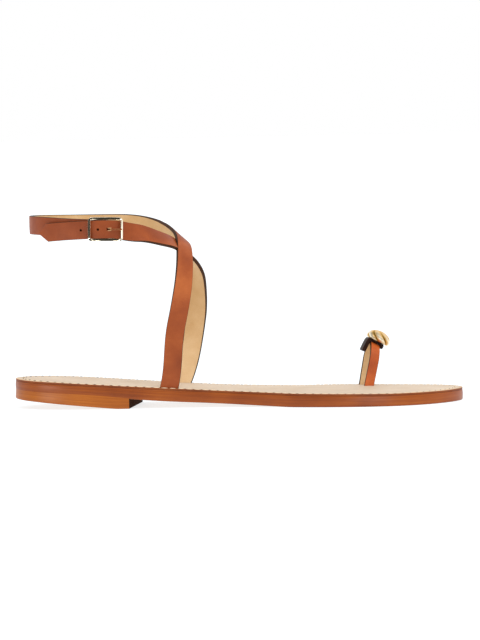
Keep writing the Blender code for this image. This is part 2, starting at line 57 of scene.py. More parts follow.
# Sole: length, ball width, and its outline as shares of both, outer side first.
LENGTH = 246.0
BALL_WIDTH = 79.0
SIDE_POINTS = 150
OUTLINE = (
    (0.000, 0.000), (0.028, -0.215), (0.098, -0.323), (0.195, -0.342), (0.366, -0.312),
    (0.528, -0.350), (0.663, -0.450), (0.772, -0.495), (0.866, -0.457), (0.947, -0.295),
    (1.000, 0.030), (0.988, 0.215), (0.935, 0.360), (0.833, 0.440), (0.732, 0.465),
    (0.610, 0.375), (0.467, 0.292), (0.366, 0.300), (0.195, 0.338), (0.098, 0.321), (0.028, 0.215),
)
TOE_TIP_ROW = 10

# Sole: heights of its rim and underside by share of the length, eased edges and rows of its section.
SOLE_HEIGHTS = (
    (0.000, 16.2, 10.0), (0.100, 14.9, 8.7), (0.190, 13.5, 7.2), (0.265, 12.2, 5.3),
    (0.350, 10.8, 3.6), (0.460, 9.2, 2.2), (0.580, 7.9, 0.6), (0.640, 7.4, 0.0),
    (0.750, 7.1, 0.0), (0.900, 6.8, 0.0), (1.000, 6.9, 0.2),
)
SOLE_EASE = 0.55
SOLE_BULGE = 0.12
SOLE_SIDE_ROWS = 8
SOLE_FLOOR_INSETS = (8.0, 1.6)
SOLE_TOP_INSET = 6.0
SOLE_COLUMNS = 6
EASE_ANGLES = np.radians((0, 30, 60, 90))

# Heel lift: height of its floor by share of the length, breast, taper and seam (inset, rise) in eases.
HEEL_UNDER = (
    (0.000, 5.3), (0.060, 4.1), (0.130, 2.5), (0.190, 1.1), (0.225, 0.3), (0.242, 0.0), (0.280, 0.0),
)
BREAST_OUTER = 65.2
BREAST_INNER = 67.2
HEEL_TAPER = -0.3
HEEL_FLOOR_INSETS = (6.0, 1.4)
HEEL_SIDE_ROWS = 5
HEEL_TOP_DROP = 0.05
HEEL_SEAM = ((0.25, 0.25), (0.9, -0.05))
HEEL_POINTS = 60
BREAST_POINTS = 24

# Insole: inset of its edge, section (inset, height over the sole's rim), crown, and slots for straps' feet.
INSOLE_INSET = 0.05
INSOLE_SECTION = (
    (0.30, -1.00), (0.04, -0.96), (0.00, -0.80), (0.00, -0.12), (0.06, 0.00), (0.22, 0.05), (0.52, 0.09),
    (1.00, 0.12), (1.40, 0.14), (2.00, 0.15), (3.00, 0.15), (4.70, 0.15),
)
INSOLE_EDGE_ROWS = 4
INSOLE_RIM_ROWS = 8
INSOLE_CROWN = 0.8
CROWN_SPAN = 40.0
INSOLE_COLUMNS = 14
INSOLE_THICK = 1.0
SLOT_CLEARANCE = 0.15
SLOT_REACH = (-4.0, 6.0)
FOOT_RINGS = 3
FOOT_GAP = 0.12

# Rim stitches: inset, height over the rim, lean down the slope, and how far in the seam runs at both ends.
STITCH_INSET = 0.52
STITCH_BASE = 0.04
STITCH_LEAN = 0.20
STITCH_PITCH = 4.5
STITCH_END_REACH = 0.16
STITCH_END_INSET = 3.2
STITCH_END_RISE = 0.14
STITCH_RADII = (1.40, 0.42, 0.25)
BEAD_SPAN = (-0.3, 1.35)
BEAD_LEVELS = 5
BEAD_SIDES = 10

# Dark beads between the stitches as painted shade of the needle holes, smaller towards the toe.
NEEDLE_RADII = np.array((0.95, 0.48, 0.22))
NEEDLE_SHRINK = 0.45

# Last: height, back, front and half width of its level sections.
LAST = (
    (8.0, 5.0, 183.0, 21.3), (30.0, 7.0, 153.0, 25.0), (50.0, 9.0, 125.0, 27.0),
    (70.0, 10.0, 106.0, 28.3), (82.0, 10.4, 97.5, 29.4), (90.0, 10.6, 92.5, 30.0),
    (104.0, 10.6, 86.0, 30.5),
)

# Straps: turn round the last in degrees, height, lift of the strap's middle off it, and its tilt upwards.
STRAP_WIDTH = 10.0
STRAP_THICK = 1.9
STRAP_STEP = 1.2
EDGE_EASE = 0.32
MOST_EASE = 0.45
PAINT_LAP = 0.06
FACE_CROWN = 0.10
FACE_COLUMNS = 6
OUTER_STRAP = (
    (-93.1, 11.5, 0, 0), (-82.2, 30.0, 0, 0), (-63.5, 50.0, 0, 0), (-38.6, 70.0, 0.8, 0.19),
    (-20.5, 82.0, 1.6, 0.45), (-4.0, 88.7, 1.6, 0.58), (20.0, 93.6, 0.6, 0.46), (50.0, 97.3, 0.1, 0.06),
    (63.0, 98.7, 0, 0), (90.0, 99.5, 0, 0), (125.0, 99.8, 0, 0), (160.0, 100.4, 0, 0),
    (200.0, 100.6, 0, 0), (225.0, 100.4, 0, 0), (250.0, 99.6, 0, 0), (268.5, 99.05, 0, 0),
)
INNER_STRAP = (
    (91.3, 11.3, 0, 0), (77.8, 30.0, 0, 0), (56.8, 50.0, 0, 0.02), (35.4, 65.5, 0, 0.20),
    (17.0, 76.1, 0.4, 0.36), (5.0, 83.0, -0.1, 0.30), (-5.0, 86.9, -1.2, 0.20), (-14.0, 89.1, -1.2, 0.30),
    (-26.0, 90.9, -0.2, 0.55), (-36.0, 92.4, 0.2, 0.60), (-45.0, 94.1, 0.5, 0.55), (-52.5, 95.4, 0.8, 0.42),
    (-60.6, 96.2, 1.4, 0.20), (-69.2, 97.4, 2.15, 0.08), (-75.6, 98.35, 2.9, 0), (-82.0, 98.65, 3.4, 0),
    (-88.4, 98.70, 2.9, 0), (-94.8, 98.60, 2.15, 0), (-121.5, 97.75, 2.15, 0),
    (-140.5, 96.65, 2.15, 0),
)

# Inner strap: where and how it broadens (turn, spread, more width), and its pointed tip.
INNER_SPREAD = (55.0, 26.0, 1.5)
TIP_LENGTH = 5.8
TIP_HALF_WIDTH = 0.6
TIP_STEPS = 8

# Soft creases across the straps: turn, depth of the trough, spread in degrees.
OUTER_CREASES = (
    (-70.0, 0.12, 2.2), (-52.0, 0.15, 2.5), (34.0, 0.18, 3.0), (112.0, 0.15, 3.0), (176.0, 0.2, 4.0),
)
INNER_CREASES = (
    (-64.5, 0.14, 1.6), (-79.0, 0.16, 1.5), (-86.0, 0.14, 1.4), (-99.5, 0.12, 1.6), (62.0, 0.15, 3.0),
)

# Buckle, in its own frame: forward along the strap, outward, up. Its end bars lean out, heel side first.
BUCKLE_TURN = -82.0
BUCKLE_HEIGHT = 98.65
BUCKLE_LENGTH = 18.6
BUCKLE_WIDTH = 13.0
BUCKLE_WIRE = 1.4
BUCKLE_CORNER = 1.2
BUCKLE_DIP = 0.02
BUCKLE_EASE = 0.16
BAR_LEAN = (0.55, 0.90)
CORNER_STEPS = 10
RAIL_STEPS = 14
BAR_OUT = 0.6
BAR_RADIUS = 0.65
BOW_OUT = 2.95
TURN_LENGTH = 38.0

# Folded eye of the outer strap: forward, outward and thickness of its lead, then the turn round the bar.
EYE_LEAD = ((-6.3, -0.42, 1.9), (-4.2, -0.42, 1.6), (-2.2, -0.50, 1.1), (-0.9, -0.58, 0.75))
EYE_RADIUS = 1.2
EYE_WALL = 0.7
EYE_LEAD_STEPS = 8
EYE_TURNS = np.arange(270, 501, 10)
EYE_SLOT_WIDTH = 2.3
EYE_SLOT_FORWARD = (-1.9, 2.2)
EYE_SLOT_OUT = (-1.6, 2.35)

# Prong: ring on the bar, tongue (forward, outward) with its tip in wires, and the strap's slot and holes.
PRONG_RING = (0.95, 1.55)
PRONG_RING_EASE = 0.2
PRONG_RING_TURNS = np.radians(np.arange(0, 360, 7.5))
PRONG_WIDTH = 1.7
PRONG_WIRE = 0.9
PRONG_STEPS = 48
PRONG_TIP = 0.55
PRONG_TIP_MOST = 0.5
PRONG_TIP_ROUND = 3
PRONG_TONGUE = (
    (1.1, 0.9), (1.5, 1.8), (2.1, 3.2), (2.9, 4.5), (4.2, 5.05), (6.0, 5.15), (8.0, 5.1), (9.1, 5.0),
)
PRONG_SLOT = (0.7, 3.3)
PRONG_SLOT_OUT = (1.6, 6.0)
PRONG_SLOT_WIDTH = 1.7
HOLE_PITCH = 4.45
HOLE_FIRST = -3.7
HOLE_COUNT = 3
HOLE_RADIUS = 0.68
HOLE_REACH = (-1.1, 1.6)
ROUND_SIDES = 24

# Toe loop: its two feet on the sole, leg height, arch rise, lean and twist.
LOOP_OUTER_FOOT = (194.0, 13.5)
LOOP_INNER_FOOT = (189.9, 33.0)
LOOP_BASE = 7.4
LOOP_LEG = 12.5
LOOP_RISE = 10.4
LOOP_LEAN = 0.20
LOOP_LEAN_MORE = 0.02
LOOP_TWIST = 17.0
LOOP_WIDTH = 5.3
LOOP_THICK = 1.6
LOOP_ARCH_POINTS = 61
LOOP_LEG_POINTS = 14

# Keeper folded over the loop's crest: inner forward, inner outward, outer forward, outer outward.
KEEPER_LENGTH = 8.0
KEEPER_FOLD = (
    (-2.9, -6.2, -5.0, -6.2), (-2.9, -3.5, -5.1, -3.5), (-2.9, -1.2, -5.1, -1.2), (-2.9, 0.1, -5.0, 0.4),
    (-2.9, 0.65, -4.8, 1.3), (-2.9, 0.85, -4.3, 1.85), (-2.4, 0.9, -3.2, 2.1), (-1.2, 0.9, -1.4, 2.1),
    (1.2, 0.9, 1.4, 2.1), (2.4, 0.9, 3.4, 2.1), (2.9, 0.85, 4.5, 1.8), (2.9, 0.65, 4.9, 1.2),
    (2.9, 0.2, 5.0, 0.5), (2.9, -0.3, 4.9, -0.3), (2.9, -0.8, 4.8, -0.8),
)

# Ornament: a dome on the keeper, its ribs fading towards the top; its gold takes painted light, a painted
# highlight on the rib crests and painted shade in the grooves and towards the top.
DOME_BASE = 2.12
DOME_FORWARD = 1.1
DOME_RADII = (6.3, 6.2, 4.2)
DOME_START = -25.0
DOME_END = 89.0
DOME_LEVELS = 48
DOME_RIBS = 6
DOME_SIDES = 180
DOME_RIB_DEPTH = 0.10
DOME_RIB_POWER = 0.7
DOME_SWIRL = 0.9
DOME_FADE = 3
DOME_TOP_SHADE = 0.45

# Leather: scale of its fine grain against its cells, that grain's part in the pores, and the sole streaks.
FINE_GRAIN = 1.7
FINE_PORES = 0.5
STREAK_SCALE = 26.0

# Zones in the order of a piece's materials: strap, sole, heel, insole, stitches.
FACE, EDGE_PAINT, LINING = range(3)
SOLE_BURNISHED, SOLE_BARE = range(2)
HEEL_BURNISHED, HEEL_DARK, HEEL_BARE = range(3)
SOCK_TOP, SOCK_EDGE, SOCK_RIM = range(3)
BEAD_THREAD, BEAD_HOLE_SHADE = range(2)

# Camera: the photograph's angle, in degrees, and its frame.
CAMERA_AZIMUTH = 5.0
CAMERA_ELEVATION = 3.3
CAMERA_ROLL = 1.26
CAMERA_DISTANCE = 3000.0
VIEW_HEIGHT = 352.0
SENSOR = 36.0
VIEW_ASIDE = 1.70
VIEW_RISE = 45.98


def unit(vectors):
    """Vectors scaled to length 1."""
    vectors = np.asarray(vectors, float)
    return vectors / np.linalg.norm(vectors, axis=-1, keepdims=True)


def lay(places, origin, first, second):
    """Flat places laid out from an origin along two directions."""
    return origin + np.outer(places[:, 0], first) + np.outer(places[:, 1], second)


def arc(centre, radius, angles):
    """Flat places on an arc round a centre, at angles in degrees."""
    angles = np.radians(angles)
    return centre + radius * np.column_stack((np.cos(angles), np.sin(angles)))


def circle(sides):
    """Flat places round a circle of radius 1."""
    return arc(0.0, 1.0, np.arange(sides) * 360 / sides)


def ease(share):
    """Share from 0 to 1 with a soft start and end."""
    return share * share * (3 - 2 * share)


def run_along(points):
    """Distance of each point along a line."""
    return np.concatenate(([0], np.cumsum(np.linalg.norm(np.diff(points, axis=0), axis=1))))


def spline(rows, closed=False):
    """Smooth cubic curve through a table, by its first column; a closed one ends as it starts."""
    rows = np.asarray(rows, float)
    knots = rows[:, 0]
    values = rows[:, 1:]
    gaps = np.diff(knots)
    slopes = np.diff(values, axis=0) / gaps[:, None]
    matrix = np.eye(len(knots))
    target = np.zeros_like(values)
    for row in range(1, len(knots) - 1):
        matrix[row, row - 1:row + 2] = gaps[row - 1], 2 * (gaps[row - 1] + gaps[row]), gaps[row]
        target[row] = 6 * (slopes[row] - slopes[row - 1])
    if closed:
        matrix[0, 0] = 2 * (gaps[0] + gaps[-1])
        matrix[0, 1] = gaps[0]
        matrix[0, -2] = gaps[-1]
        target[0] = 6 * (slopes[0] - slopes[-1])
        matrix[-1, 0] = -1
    bend = np.linalg.solve(matrix, target)

    def at(place):
        place = np.atleast_1d(place)
        low = np.clip(np.searchsorted(knots, place) - 1, 0, len(gaps) - 1)
        gap = gaps[low][:, None]
        after = (place - knots[low])[:, None]
        before = gap - after
        curve = (bend[low] * before ** 3 + bend[low + 1] * after ** 3) / (6 * gap)
        start = values[low] / gap - bend[low] * gap / 6
        end = values[low + 1] / gap - bend[low + 1] * gap / 6
        return curve + start * before + end * after

    return at


def profile(rows, column):
    """Curve through one column of a table that keeps flat stretches flat."""
    knots, values = np.array(rows)[:, (0, column)].T
    slopes = np.diff(values) / np.diff(knots)
    tangents = np.concatenate((slopes[:1], np.zeros(len(slopes) - 1), slopes[-1:]))
    for row in range(1, len(slopes)):
        if slopes[row - 1] * slopes[row] > 0:
            tangents[row] = 2 / (1 / slopes[row - 1] + 1 / slopes[row])

    def at(place):
        place = np.asarray(place, float)
        low = np.clip(np.searchsorted(knots, place) - 1, 0, len(slopes) - 1)
        gap = knots[low + 1] - knots[low]
        share = np.clip((place - knots[low]) / gap, 0, 1)
        lead = share * (1 - share) ** 2
        tail = -share * share * (1 - share)
        level = values[low] + ease(share) * (values[low + 1] - values[low])
        return level + gap * (lead * tangents[low] + tail * tangents[low + 1])

    return at


def outline_curve():
    """Sole outline by station: heel back 0, toe tip 1 along the outer side, heel back 2."""
    points = np.array(OUTLINE + OUTLINE[:1]) * (LENGTH, BALL_WIDTH)
    steps = run_along(points)
    tip = steps[TOE_TIP_ROW]
    stations = np.where(steps <= tip, steps / tip, 1 + (steps - tip) / (steps[-1] - tip))
    return spline(np.column_stack((stations, points)), closed=True)


EDGE = outline_curve()
RIM = profile(SOLE_HEIGHTS, 1)
UNDER = profile(SOLE_HEIGHTS, 2)
HEEL_FLOOR = profile(HEEL_UNDER, 1)


def row_offset():
    """Shift from the sandal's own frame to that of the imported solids."""
    edge = EDGE(np.linspace(0, 2, OUTLINE_SAMPLES))
    middle = (edge.min(axis=0) + edge.max(axis=0)) / 2
    return np.array((-middle[0], -middle[1], 0.0))


OFFSET = row_offset()


def inset_edge(stations, inset):
    """Outline points moved in by an inset."""
    nudge = 1e-4
    along = unit(EDGE(stations + nudge) - EDGE(stations - nudge))
    inward = np.column_stack((-along[:, 1], along[:, 0]))
    return EDGE(stations) + inset * inward


def station_at(reaches, inner):
    """Stations on one side of the outline at distances from the heel's back."""
    stations = np.linspace(2 if inner else 0, 1, STATION_SAMPLES)
    grown = np.maximum.accumulate(EDGE(stations)[:, 0])
    return np.interp(reaches, grown, stations)


def whole_stations():
    """Stations all round the sole, paired side to side across its length."""
    angles = np.arange(SIDE_POINTS + 1) * pi / SIDE_POINTS
    reaches = LENGTH * (1 - np.cos(angles)) / 2
    outer = station_at(reaches[1:-1], inner=False)
    inner = station_at(reaches[-2:0:-1], inner=True)
    return np.concatenate(([0.0], outer, [1.0], inner))


def sole_ring(stations, inset, height, extra):
    """Ring of the sole at an inset and at a height that follows the length."""
    flat = inset_edge(stations, inset)
    return np.column_stack((flat, height(flat[:, 0] / LENGTH) + extra))


LAST_SECTION = spline(LAST)


def last_point(turn, height):
    """Point on the last, where the straps' middle lies."""
    back, front, half = LAST_SECTION(height)[0]
    angle = radians(turn)
    reach = (front - back) / 2
    return np.array(((back + front) / 2 + reach * cos(angle), half * sin(angle), height))


def last_frame(turn, height):
    """Point on the last, its direction of growing turn and its outward direction."""
    nudge = 0.05
    round_it = last_point(turn + nudge, height) - last_point(turn - nudge, height)
    up_it = last_point(turn, height + nudge) - last_point(turn, height - nudge)
    return last_point(turn, height), unit(round_it), unit(np.cross(round_it, up_it))


def hump(place, middle, spread, height):
    """Smooth hump along a place."""
    return height * exp(-((place - middle) / spread) ** 2)


def strap_course(rows, creases=()):
    """Strap's height, lift and tilt by turn, with its soft creases."""
    smooth = spline(sorted(rows))

    def at(turn):
        height, lift, tilt = smooth(turn)[0]
        for middle, depth, spread in creases:
            lift -= hump(turn, middle, spread, depth)
        return height, lift, tilt

    return at


def strap_place(course, turn):
    """Point on a strap's middle line and its outward direction."""
    height, lift, tilt = course(turn)
    point, _, out = last_frame(turn, height)
    return point + lift * out, unit(out + (0.0, 0.0, tilt))


def strap_line(rows, creases):
    """Evenly spaced points along a strap with their outward directions and turns."""
    course = strap_course(rows, creases)
    turns = np.linspace(rows[0][0], rows[-1][0], STRAP_SAMPLES)
    run = run_along(np.array([strap_place(course, turn)[0] for turn in turns]))
    count = round(run[-1] / STRAP_STEP)
    turns = np.interp(np.linspace(0, run[-1], count), run, turns)
    points, outs = np.swapaxes([strap_place(course, turn) for turn in turns], 0, 1)
    return points, outs, turns


def buckle_frame_axes():
    """Buckle's origin on the last and its forward, outward and up directions."""
    origin, level, out = last_frame(BUCKLE_TURN, BUCKLE_HEIGHT)
    forward = unit(level - BUCKLE_DIP * np.cross(out, level))
    return origin, (forward, out, np.cross(out, forward))


BUCKLE_AT, BUCKLE_AXES = buckle_frame_axes()
BAR_AT = BUCKLE_AT + BAR_OUT * BUCKLE_AXES[1]


def eye_sections():
    """Folded end of the outer strap round the centre bar."""
    forwards = np.linspace(EYE_LEAD[0][0], EYE_LEAD[-1][0], EYE_LEAD_STEPS)
    lead = np.column_stack((forwards, spline(EYE_LEAD)(forwards)))
    turned = arc((0.0, BAR_OUT), EYE_RADIUS, EYE_TURNS)
    places = np.concatenate((lead[:, :2], turned))
    along = unit(np.gradient(places, axis=0))
    outs = lay(along, 0.0, BUCKLE_AXES[1], -BUCKLE_AXES[0])
    thicks = np.concatenate((lead[:, 2], [EYE_WALL] * len(turned)))
    return lay(places, BUCKLE_AT, *BUCKLE_AXES[:2]), outs, thicks


def loft(rings, zone=0, wrap=False, caps="flat", columns=1, crown=0.0):
    """Shape through equal rings: its points, faces and the zone of each face.

    A zone is one number, or a function of a face's row and column, with None as the column of an end.
    Flat caps are single faces. Paired caps run side to side in columns, raised by a crown in the middle.
    """
    zone_at = zone if callable(zone) else lambda row, column: zone
    size = len(rings[0])
    points = [np.concatenate(rings)]
    faces = []
    zones = []
    for row in range(len(rings) if wrap else len(rings) - 1):
        low = row * size
        high = (row + 1) % len(rings) * size
        for near in range(size):
            far = (near + 1) % size
            faces.append((low + near, low + far, high + far, high + near))
            zones.append(zone_at(row, near))
    if wrap:
        return points[0], faces, zones
    total = len(rings) * size
    shares = np.arange(1, columns)[:, None] / columns
    for row in (0, len(rings) - 1):
        first = row * size
        end_zone = zone_at(row, None)
        if caps == "flat":
            faces.append(tuple(range(first, first + size)))
            zones.append(end_zone)
            continue
        ring = rings[row]
        lines = [[first]]
        for near in range(1, size // 2):
            left = ring[near]
            right = ring[size - near]
            rise = crown * min(1.0, np.linalg.norm(right - left) / CROWN_SPAN) if row else 0.0
            inner = left + shares * (right - left)
            inner[:, 2:] += rise * (1 - (2 * shares - 1) ** 2)
            points.append(inner)
            lines.append([first + near, *range(total, total + len(inner)), first + size - near])
            total += len(inner)
        lines.append([first + size // 2])
        for before, after in zip(lines[:-1], lines[1:]):
            for column in range(columns):
                sides = ((before, column), (before, column + 1), (after, column + 1), (after, column))
                corners = tuple(dict.fromkeys(line[min(place, len(line) - 1)] for line, place in sides))
                if len(corners) > 2:
                    faces.append(corners)
                    zones.append(end_zone)
    return np.concatenate(points), faces, zones


def bar_shape(outline, origin, axes, reach, zone=0):
    """Straight bar along the third axis of a local frame, with an outline on the other two."""
    return loft([lay(outline, origin + axes[2] * place, *axes[:2]) for place in reach], zone)


def box_shape(origin, axes, spans, zone):
    """Box in a local frame: its span along each of three axes."""
    (left, right), (low, high), reach = spans
    corners = np.array(((left, low), (right, low), (right, high), (left, high)))
    return bar_shape(corners, origin, axes, reach, zone)


def bead_shape(centre, axes, radii, zone):
    """Long round bead: the top and sides of an ellipsoid, closed below."""
    rings = []
    for level in np.linspace(*BEAD_SPAN, BEAD_LEVELS):
        flat = circle(BEAD_SIDES) * radii[:2] * cos(level)
        rings.append(lay(flat, centre + axes[2] * radii[2] * sin(level), *axes[:2]))
    return loft(rings, zone)


def strap_section(width, thick):
    """Points round a strap's section (across, outward), with eased edges and a crowned face."""
    deep = thick / 2
    round_off = min(EDGE_EASE, MOST_EASE * thick, MOST_EASE * width)
    flat = width / 2 - round_off
    level = deep - round_off
    painted = max(flat - PAINT_LAP, flat / 2)
    face = np.concatenate(([flat], np.linspace(painted, -painted, FACE_COLUMNS + 1), [-flat]))
    return np.concatenate((
        arc((flat, level), round_off, (0, 30, 60)),
        np.column_stack((face, deep + FACE_CROWN * (1 - (face / flat) ** 2))),
        arc((-flat, level), round_off, (120, 150, 180)),
        arc((-flat, -level), round_off, (180, 210, 240)),
        np.column_stack((face[::-1], [-deep] * len(face))),
        arc((flat, -level), round_off, (300, 330, 360)),
    ))


# Zone of each strip that follows a point of a strap's section.
STRAP_ZONES = [EDGE_PAINT] * 2 + [FACE] * (FACE_COLUMNS + 4) + [EDGE_PAINT] * 7
STRAP_ZONES += [LINING] * FACE_COLUMNS + [EDGE_PAINT] * 5


def strap_zone(row, column):
    """Zone of one face of a swept strap; its ends are painted."""
    return EDGE_PAINT if column is None else STRAP_ZONES[column]


def round_section(width, thick, round_off, steps=4):
    """Points round a bar's section (across, outward) with rounded corners."""
    half = np.array((width, thick)) / 2 - round_off
    turns = 90 * np.arange(steps + 1) / steps
    corners = enumerate(((1, 1), (-1, 1), (-1, -1), (1, -1)))
    return np.concatenate([arc(half * side, round_off, 90 * corner + turns) for corner, side in corners])


def sweep_rings(points, outs, sections, wrap=False):
    """Sections along a line of points, each facing its outward direction."""
    if wrap:
        along = unit(np.roll(points, -1, axis=0) - np.roll(points, 1, axis=0))
    else:
        along = unit(np.gradient(points, axis=0))
    outs = unit(outs - along * np.sum(outs * along, axis=1, keepdims=True))
    across = np.cross(outs, along)
    return [lay(section, *place) for section, *place in zip(sections, points, across, outs)]


def seat_foot(rings, end, beside):
    """Slide one end ring along its strap until it stands on the sole."""
    along = unit(np.mean(rings[beside], axis=0) - np.mean(rings[end], axis=0))
    floor = RIM(rings[end][:, 0] / LENGTH) - INSOLE_THICK + FOOT_GAP
    rings[end] = rings[end] + along * ((floor - rings[end][:, 2]) / along[2])[:, None]


def mesh_object(name, shapes, materials, smooth_angle=SMOOTH_ANGLE):
    """Object joined from shapes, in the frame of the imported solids."""
    points = []
    faces = []
    zones = []
    for shape_points, shape_faces, shape_zones in shapes:
        faces += [tuple(len(points) + index for index in face) for face in shape_faces]
        points += [tuple(point) for point in (shape_points + OFFSET) * MM]
        zones += shape_zones
    mesh = bpy.data.meshes.new(name)
    mesh.from_pydata(points, [], faces)
    for material in materials:
        mesh.materials.append(material)
    mesh.polygons.foreach_set("material_index", zones)
    obj = bpy.data.objects.new(name, mesh)
    bpy.context.collection.objects.link(obj)
    turn_outwards(mesh)
    shade(mesh, smooth_angle)
    return obj


def shade(mesh, smooth_angle):
    """Smooth shading up to an angle between faces."""
    mesh.shade_smooth()
    mesh.set_sharp_from_angle(angle=radians(smooth_angle))


def turn_outwards(mesh):
    """Let every face of a mesh point outwards."""
    bm = bmesh.new()
    bm.from_mesh(mesh)
    bmesh.ops.recalc_face_normals(bm, faces=bm.faces)
    bm.to_mesh(mesh)
    bm.free()


def combine(obj, name, shapes, operation, smooth_angle=SMOOTH_ANGLE):
    """Join shapes to an object, or cut them away, and keep the result as its mesh."""
    tool = mesh_object(name, shapes, obj.data.materials)
    modifier = obj.modifiers.new(name, "BOOLEAN")
    modifier.operation = operation
    modifier.object = tool
    modifier.solver = "EXACT"
    whole = bpy.data.meshes.new_from_object(obj.evaluated_get(bpy.context.evaluated_depsgraph_get()))
    obj.modifiers.clear()
    obj.data = whole
    whole.name = obj.name
    bpy.data.objects.remove(tool, do_unlink=True)
    shade(whole, smooth_angle)


def dress(obj, slot, *nodes):
    """Let a piece ride on the sandal and stand for its solids; its slot is not used."""
    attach(obj, "root")
    if nodes:
        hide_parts(*nodes)


def linear(colour):
    """Colour written as 0 to 255 turned to linear light."""
    shares = np.array(colour) / 255
    return tuple(np.where(shares <= 0.04045, shares / 12.92, ((shares + 0.055) / 1.055) ** 2.4))


def node(tree, kind, sockets=(), **settings):
    """Shader node with its settings, and its sockets linked or set."""
    made = tree.nodes.new(kind)
    for name, value in settings.items():
        setattr(made, name, value)
    for name, value in dict(sockets).items():
        if isinstance(value, bpy.types.NodeSocket):
            tree.links.new(value, made.inputs[name])
        else:
            made.inputs[name].default_value = value
    return made


def ramp(tree, factor, stops):
    """Colours along a factor, from stops of place, red, green and blue."""
    made = node(tree, "ShaderNodeValToRGB", {"Fac": factor})
    elements = made.color_ramp.elements
    for element, stop in zip(elements, (stops[0], stops[-1])):
        element.position = stop[0]
    for stop in stops[1:-1]:
        elements.new(stop[0])
    for element, stop in zip(elements, stops):
        element.color = (*linear(stop[1:]), 1.0)
    return made.outputs["Color"]


def noise(tree, vector, scale, detail=3.0, roughness=0.55):
    """Noise between 0 and 1."""
    sockets = {"Vector": vector, "Scale": scale, "Detail": detail, "Roughness": roughness}
    return node(tree, "ShaderNodeTexNoise", sockets).outputs["Fac"]


def math_node(tree, operation, *values):
    """Result of a sum on sockets or numbers."""
    return node(tree, "ShaderNodeMath", dict(enumerate(values)), operation=operation).outputs[0]


def spread(tree, factor, low, high):
    """A 0 to 1 factor spread between two values."""
    sockets = {"Value": factor, "To Min": low, "To Max": high}
    return node(tree, "ShaderNodeMapRange", sockets).outputs["Result"]


def blend(tree, first, second, share):
    """Mix of two factors, with the share of the second."""
    return math_node(tree, "MULTIPLY_ADD", second, share, math_node(tree, "MULTIPLY", first, 1 - share))


def new_material(name, **constants):
    """Material with its shader's constant values set on the sockets."""
    material = bpy.data.materials.new(name)
    material.use_nodes = True
    tree = material.node_tree
    shader = tree.nodes["Principled BSDF"]
    for socket, value in constants.items():
        shader.inputs[socket.replace("_", " ")].default_value = value
    coords = node(tree, "ShaderNodeTexCoord").outputs["Object"]
    return material, tree, shader, coords


def surface(tree, shader, colour, roughness, relief, strength, depth):
    """Link a colour, a roughness and a relief, of a depth in millimetres, to the shader."""
    bump = node(tree, "ShaderNodeBump", {"Strength": strength, "Distance": depth * MM, "Height": relief})
    tree.links.new(colour, shader.inputs["Base Color"])
    tree.links.new(roughness, shader.inputs["Roughness"])
    tree.links.new(bump.outputs["Normal"], shader.inputs["Normal"])


def leather(name, stops, grain, bump, roughness, patch=70.0, shine=0.28, painted_shades=()):
    """Grained leather with soft patches of colour, in cells of the grain's scale.

    Fades of painted light and shade are rows of low height, high height and how much darker the colour
    grows between them.
    """
    material, tree, shader, coords = new_material(name, Specular_IOR_Level=shine)
    patches = noise(tree, coords, patch, detail=4.0)
    fine = noise(tree, coords, grain * FINE_GRAIN, detail=2.0)
    cells = node(tree, "ShaderNodeTexVoronoi", {"Vector": coords, "Scale": grain}, feature="SMOOTH_F1")
    tone = blend(tree, patches, fine, share=0.22)
    # Painted light and shade by height, added to the tone.
    for low, high, painted_darkening in painted_shades:
        height = node(tree, "ShaderNodeSeparateXYZ", {"Vector": coords}).outputs["Z"]
        sockets = {"Value": height, "From Min": low * MM, "From Max": high * MM, "To Max": painted_darkening}
        fade = node(tree, "ShaderNodeMapRange", sockets, interpolation_type="SMOOTHSTEP")
        tone = math_node(tree, "ADD", tone, fade.outputs["Result"])
    gloss = spread(tree, patches, roughness - 0.07, roughness + 0.07)
    pores = math_node(tree, "MULTIPLY_ADD", fine, FINE_PORES, cells.outputs["Distance"])
    surface(tree, shader, ramp(tree, tone, stops), gloss, pores, strength=bump, depth=0.12)
    return material


def burnished(name, stops, layers, roughness):
    """Burnished sole edge: long streaks along the layers of the leather."""
    material, tree, shader, coords = new_material(name, Specular_IOR_Level=0.3)
    layer = node(tree, "ShaderNodeAttribute", attribute_name="layer").outputs["Fac"]
    parts = node(tree, "ShaderNodeSeparateXYZ", {"Vector": coords}).outputs
    sockets = {"X": parts["X"], "Y": parts["Y"], "Z": layer}
    flat = node(tree, "ShaderNodeCombineXYZ", sockets).outputs["Vector"]
    sockets = {"Vector": flat, "Scale": (STREAK_SCALE, STREAK_SCALE, layers)}
    stretched = node(tree, "ShaderNodeMapping", sockets).outputs["Vector"]
    streaks = noise(tree, stretched, scale=1.0, detail=5.0, roughness=0.6)
    patches = noise(tree, coords, scale=34.0)
    tone = blend(tree, patches, streaks, share=0.55)
    gloss = spread(tree, streaks, roughness - 0.06, roughness + 0.1)
    surface(tree, shader, ramp(tree, tone, stops), gloss, streaks, strength=0.25, depth=0.1)
    return material


def paint(name, stops, roughness):
    """Edge paint or thread: a small-scale mottle and a faint waviness."""
    material, tree, shader, coords = new_material(name, Specular_IOR_Level=0.1)
    mottle = noise(tree, coords, scale=700.0)
    gloss = spread(tree, mottle, roughness - 0.06, roughness + 0.06)
    surface(tree, shader, ramp(tree, mottle, stops), gloss, mottle, strength=0.3, depth=0.08)
    return material


def polished_metal(name, stops, roughness, lobed=False):
    """Polished plated metal with faint rubbing marks; a lobed one takes painted light from its points,
    paler on its crests and darker in its grooves.
    """
    material, tree, shader, coords = new_material(name, Metallic=1.0)
    wear = noise(tree, coords, scale=240.0, detail=4.0)
    rub = noise(tree, coords, scale=2600.0, detail=2.0)
    tone = wear
    if lobed:
        painted_lobe_light = node(tree, "ShaderNodeAttribute", attribute_name="painted_lobe_light").outputs["Fac"]
        tone = blend(tree, painted_lobe_light, wear, share=0.15)
    gloss = spread(tree, wear, roughness - 0.04, roughness + 0.06)
    surface(tree, shader, ramp(tree, tone, stops), gloss, rub, strength=0.05, depth=0.04)
    return material
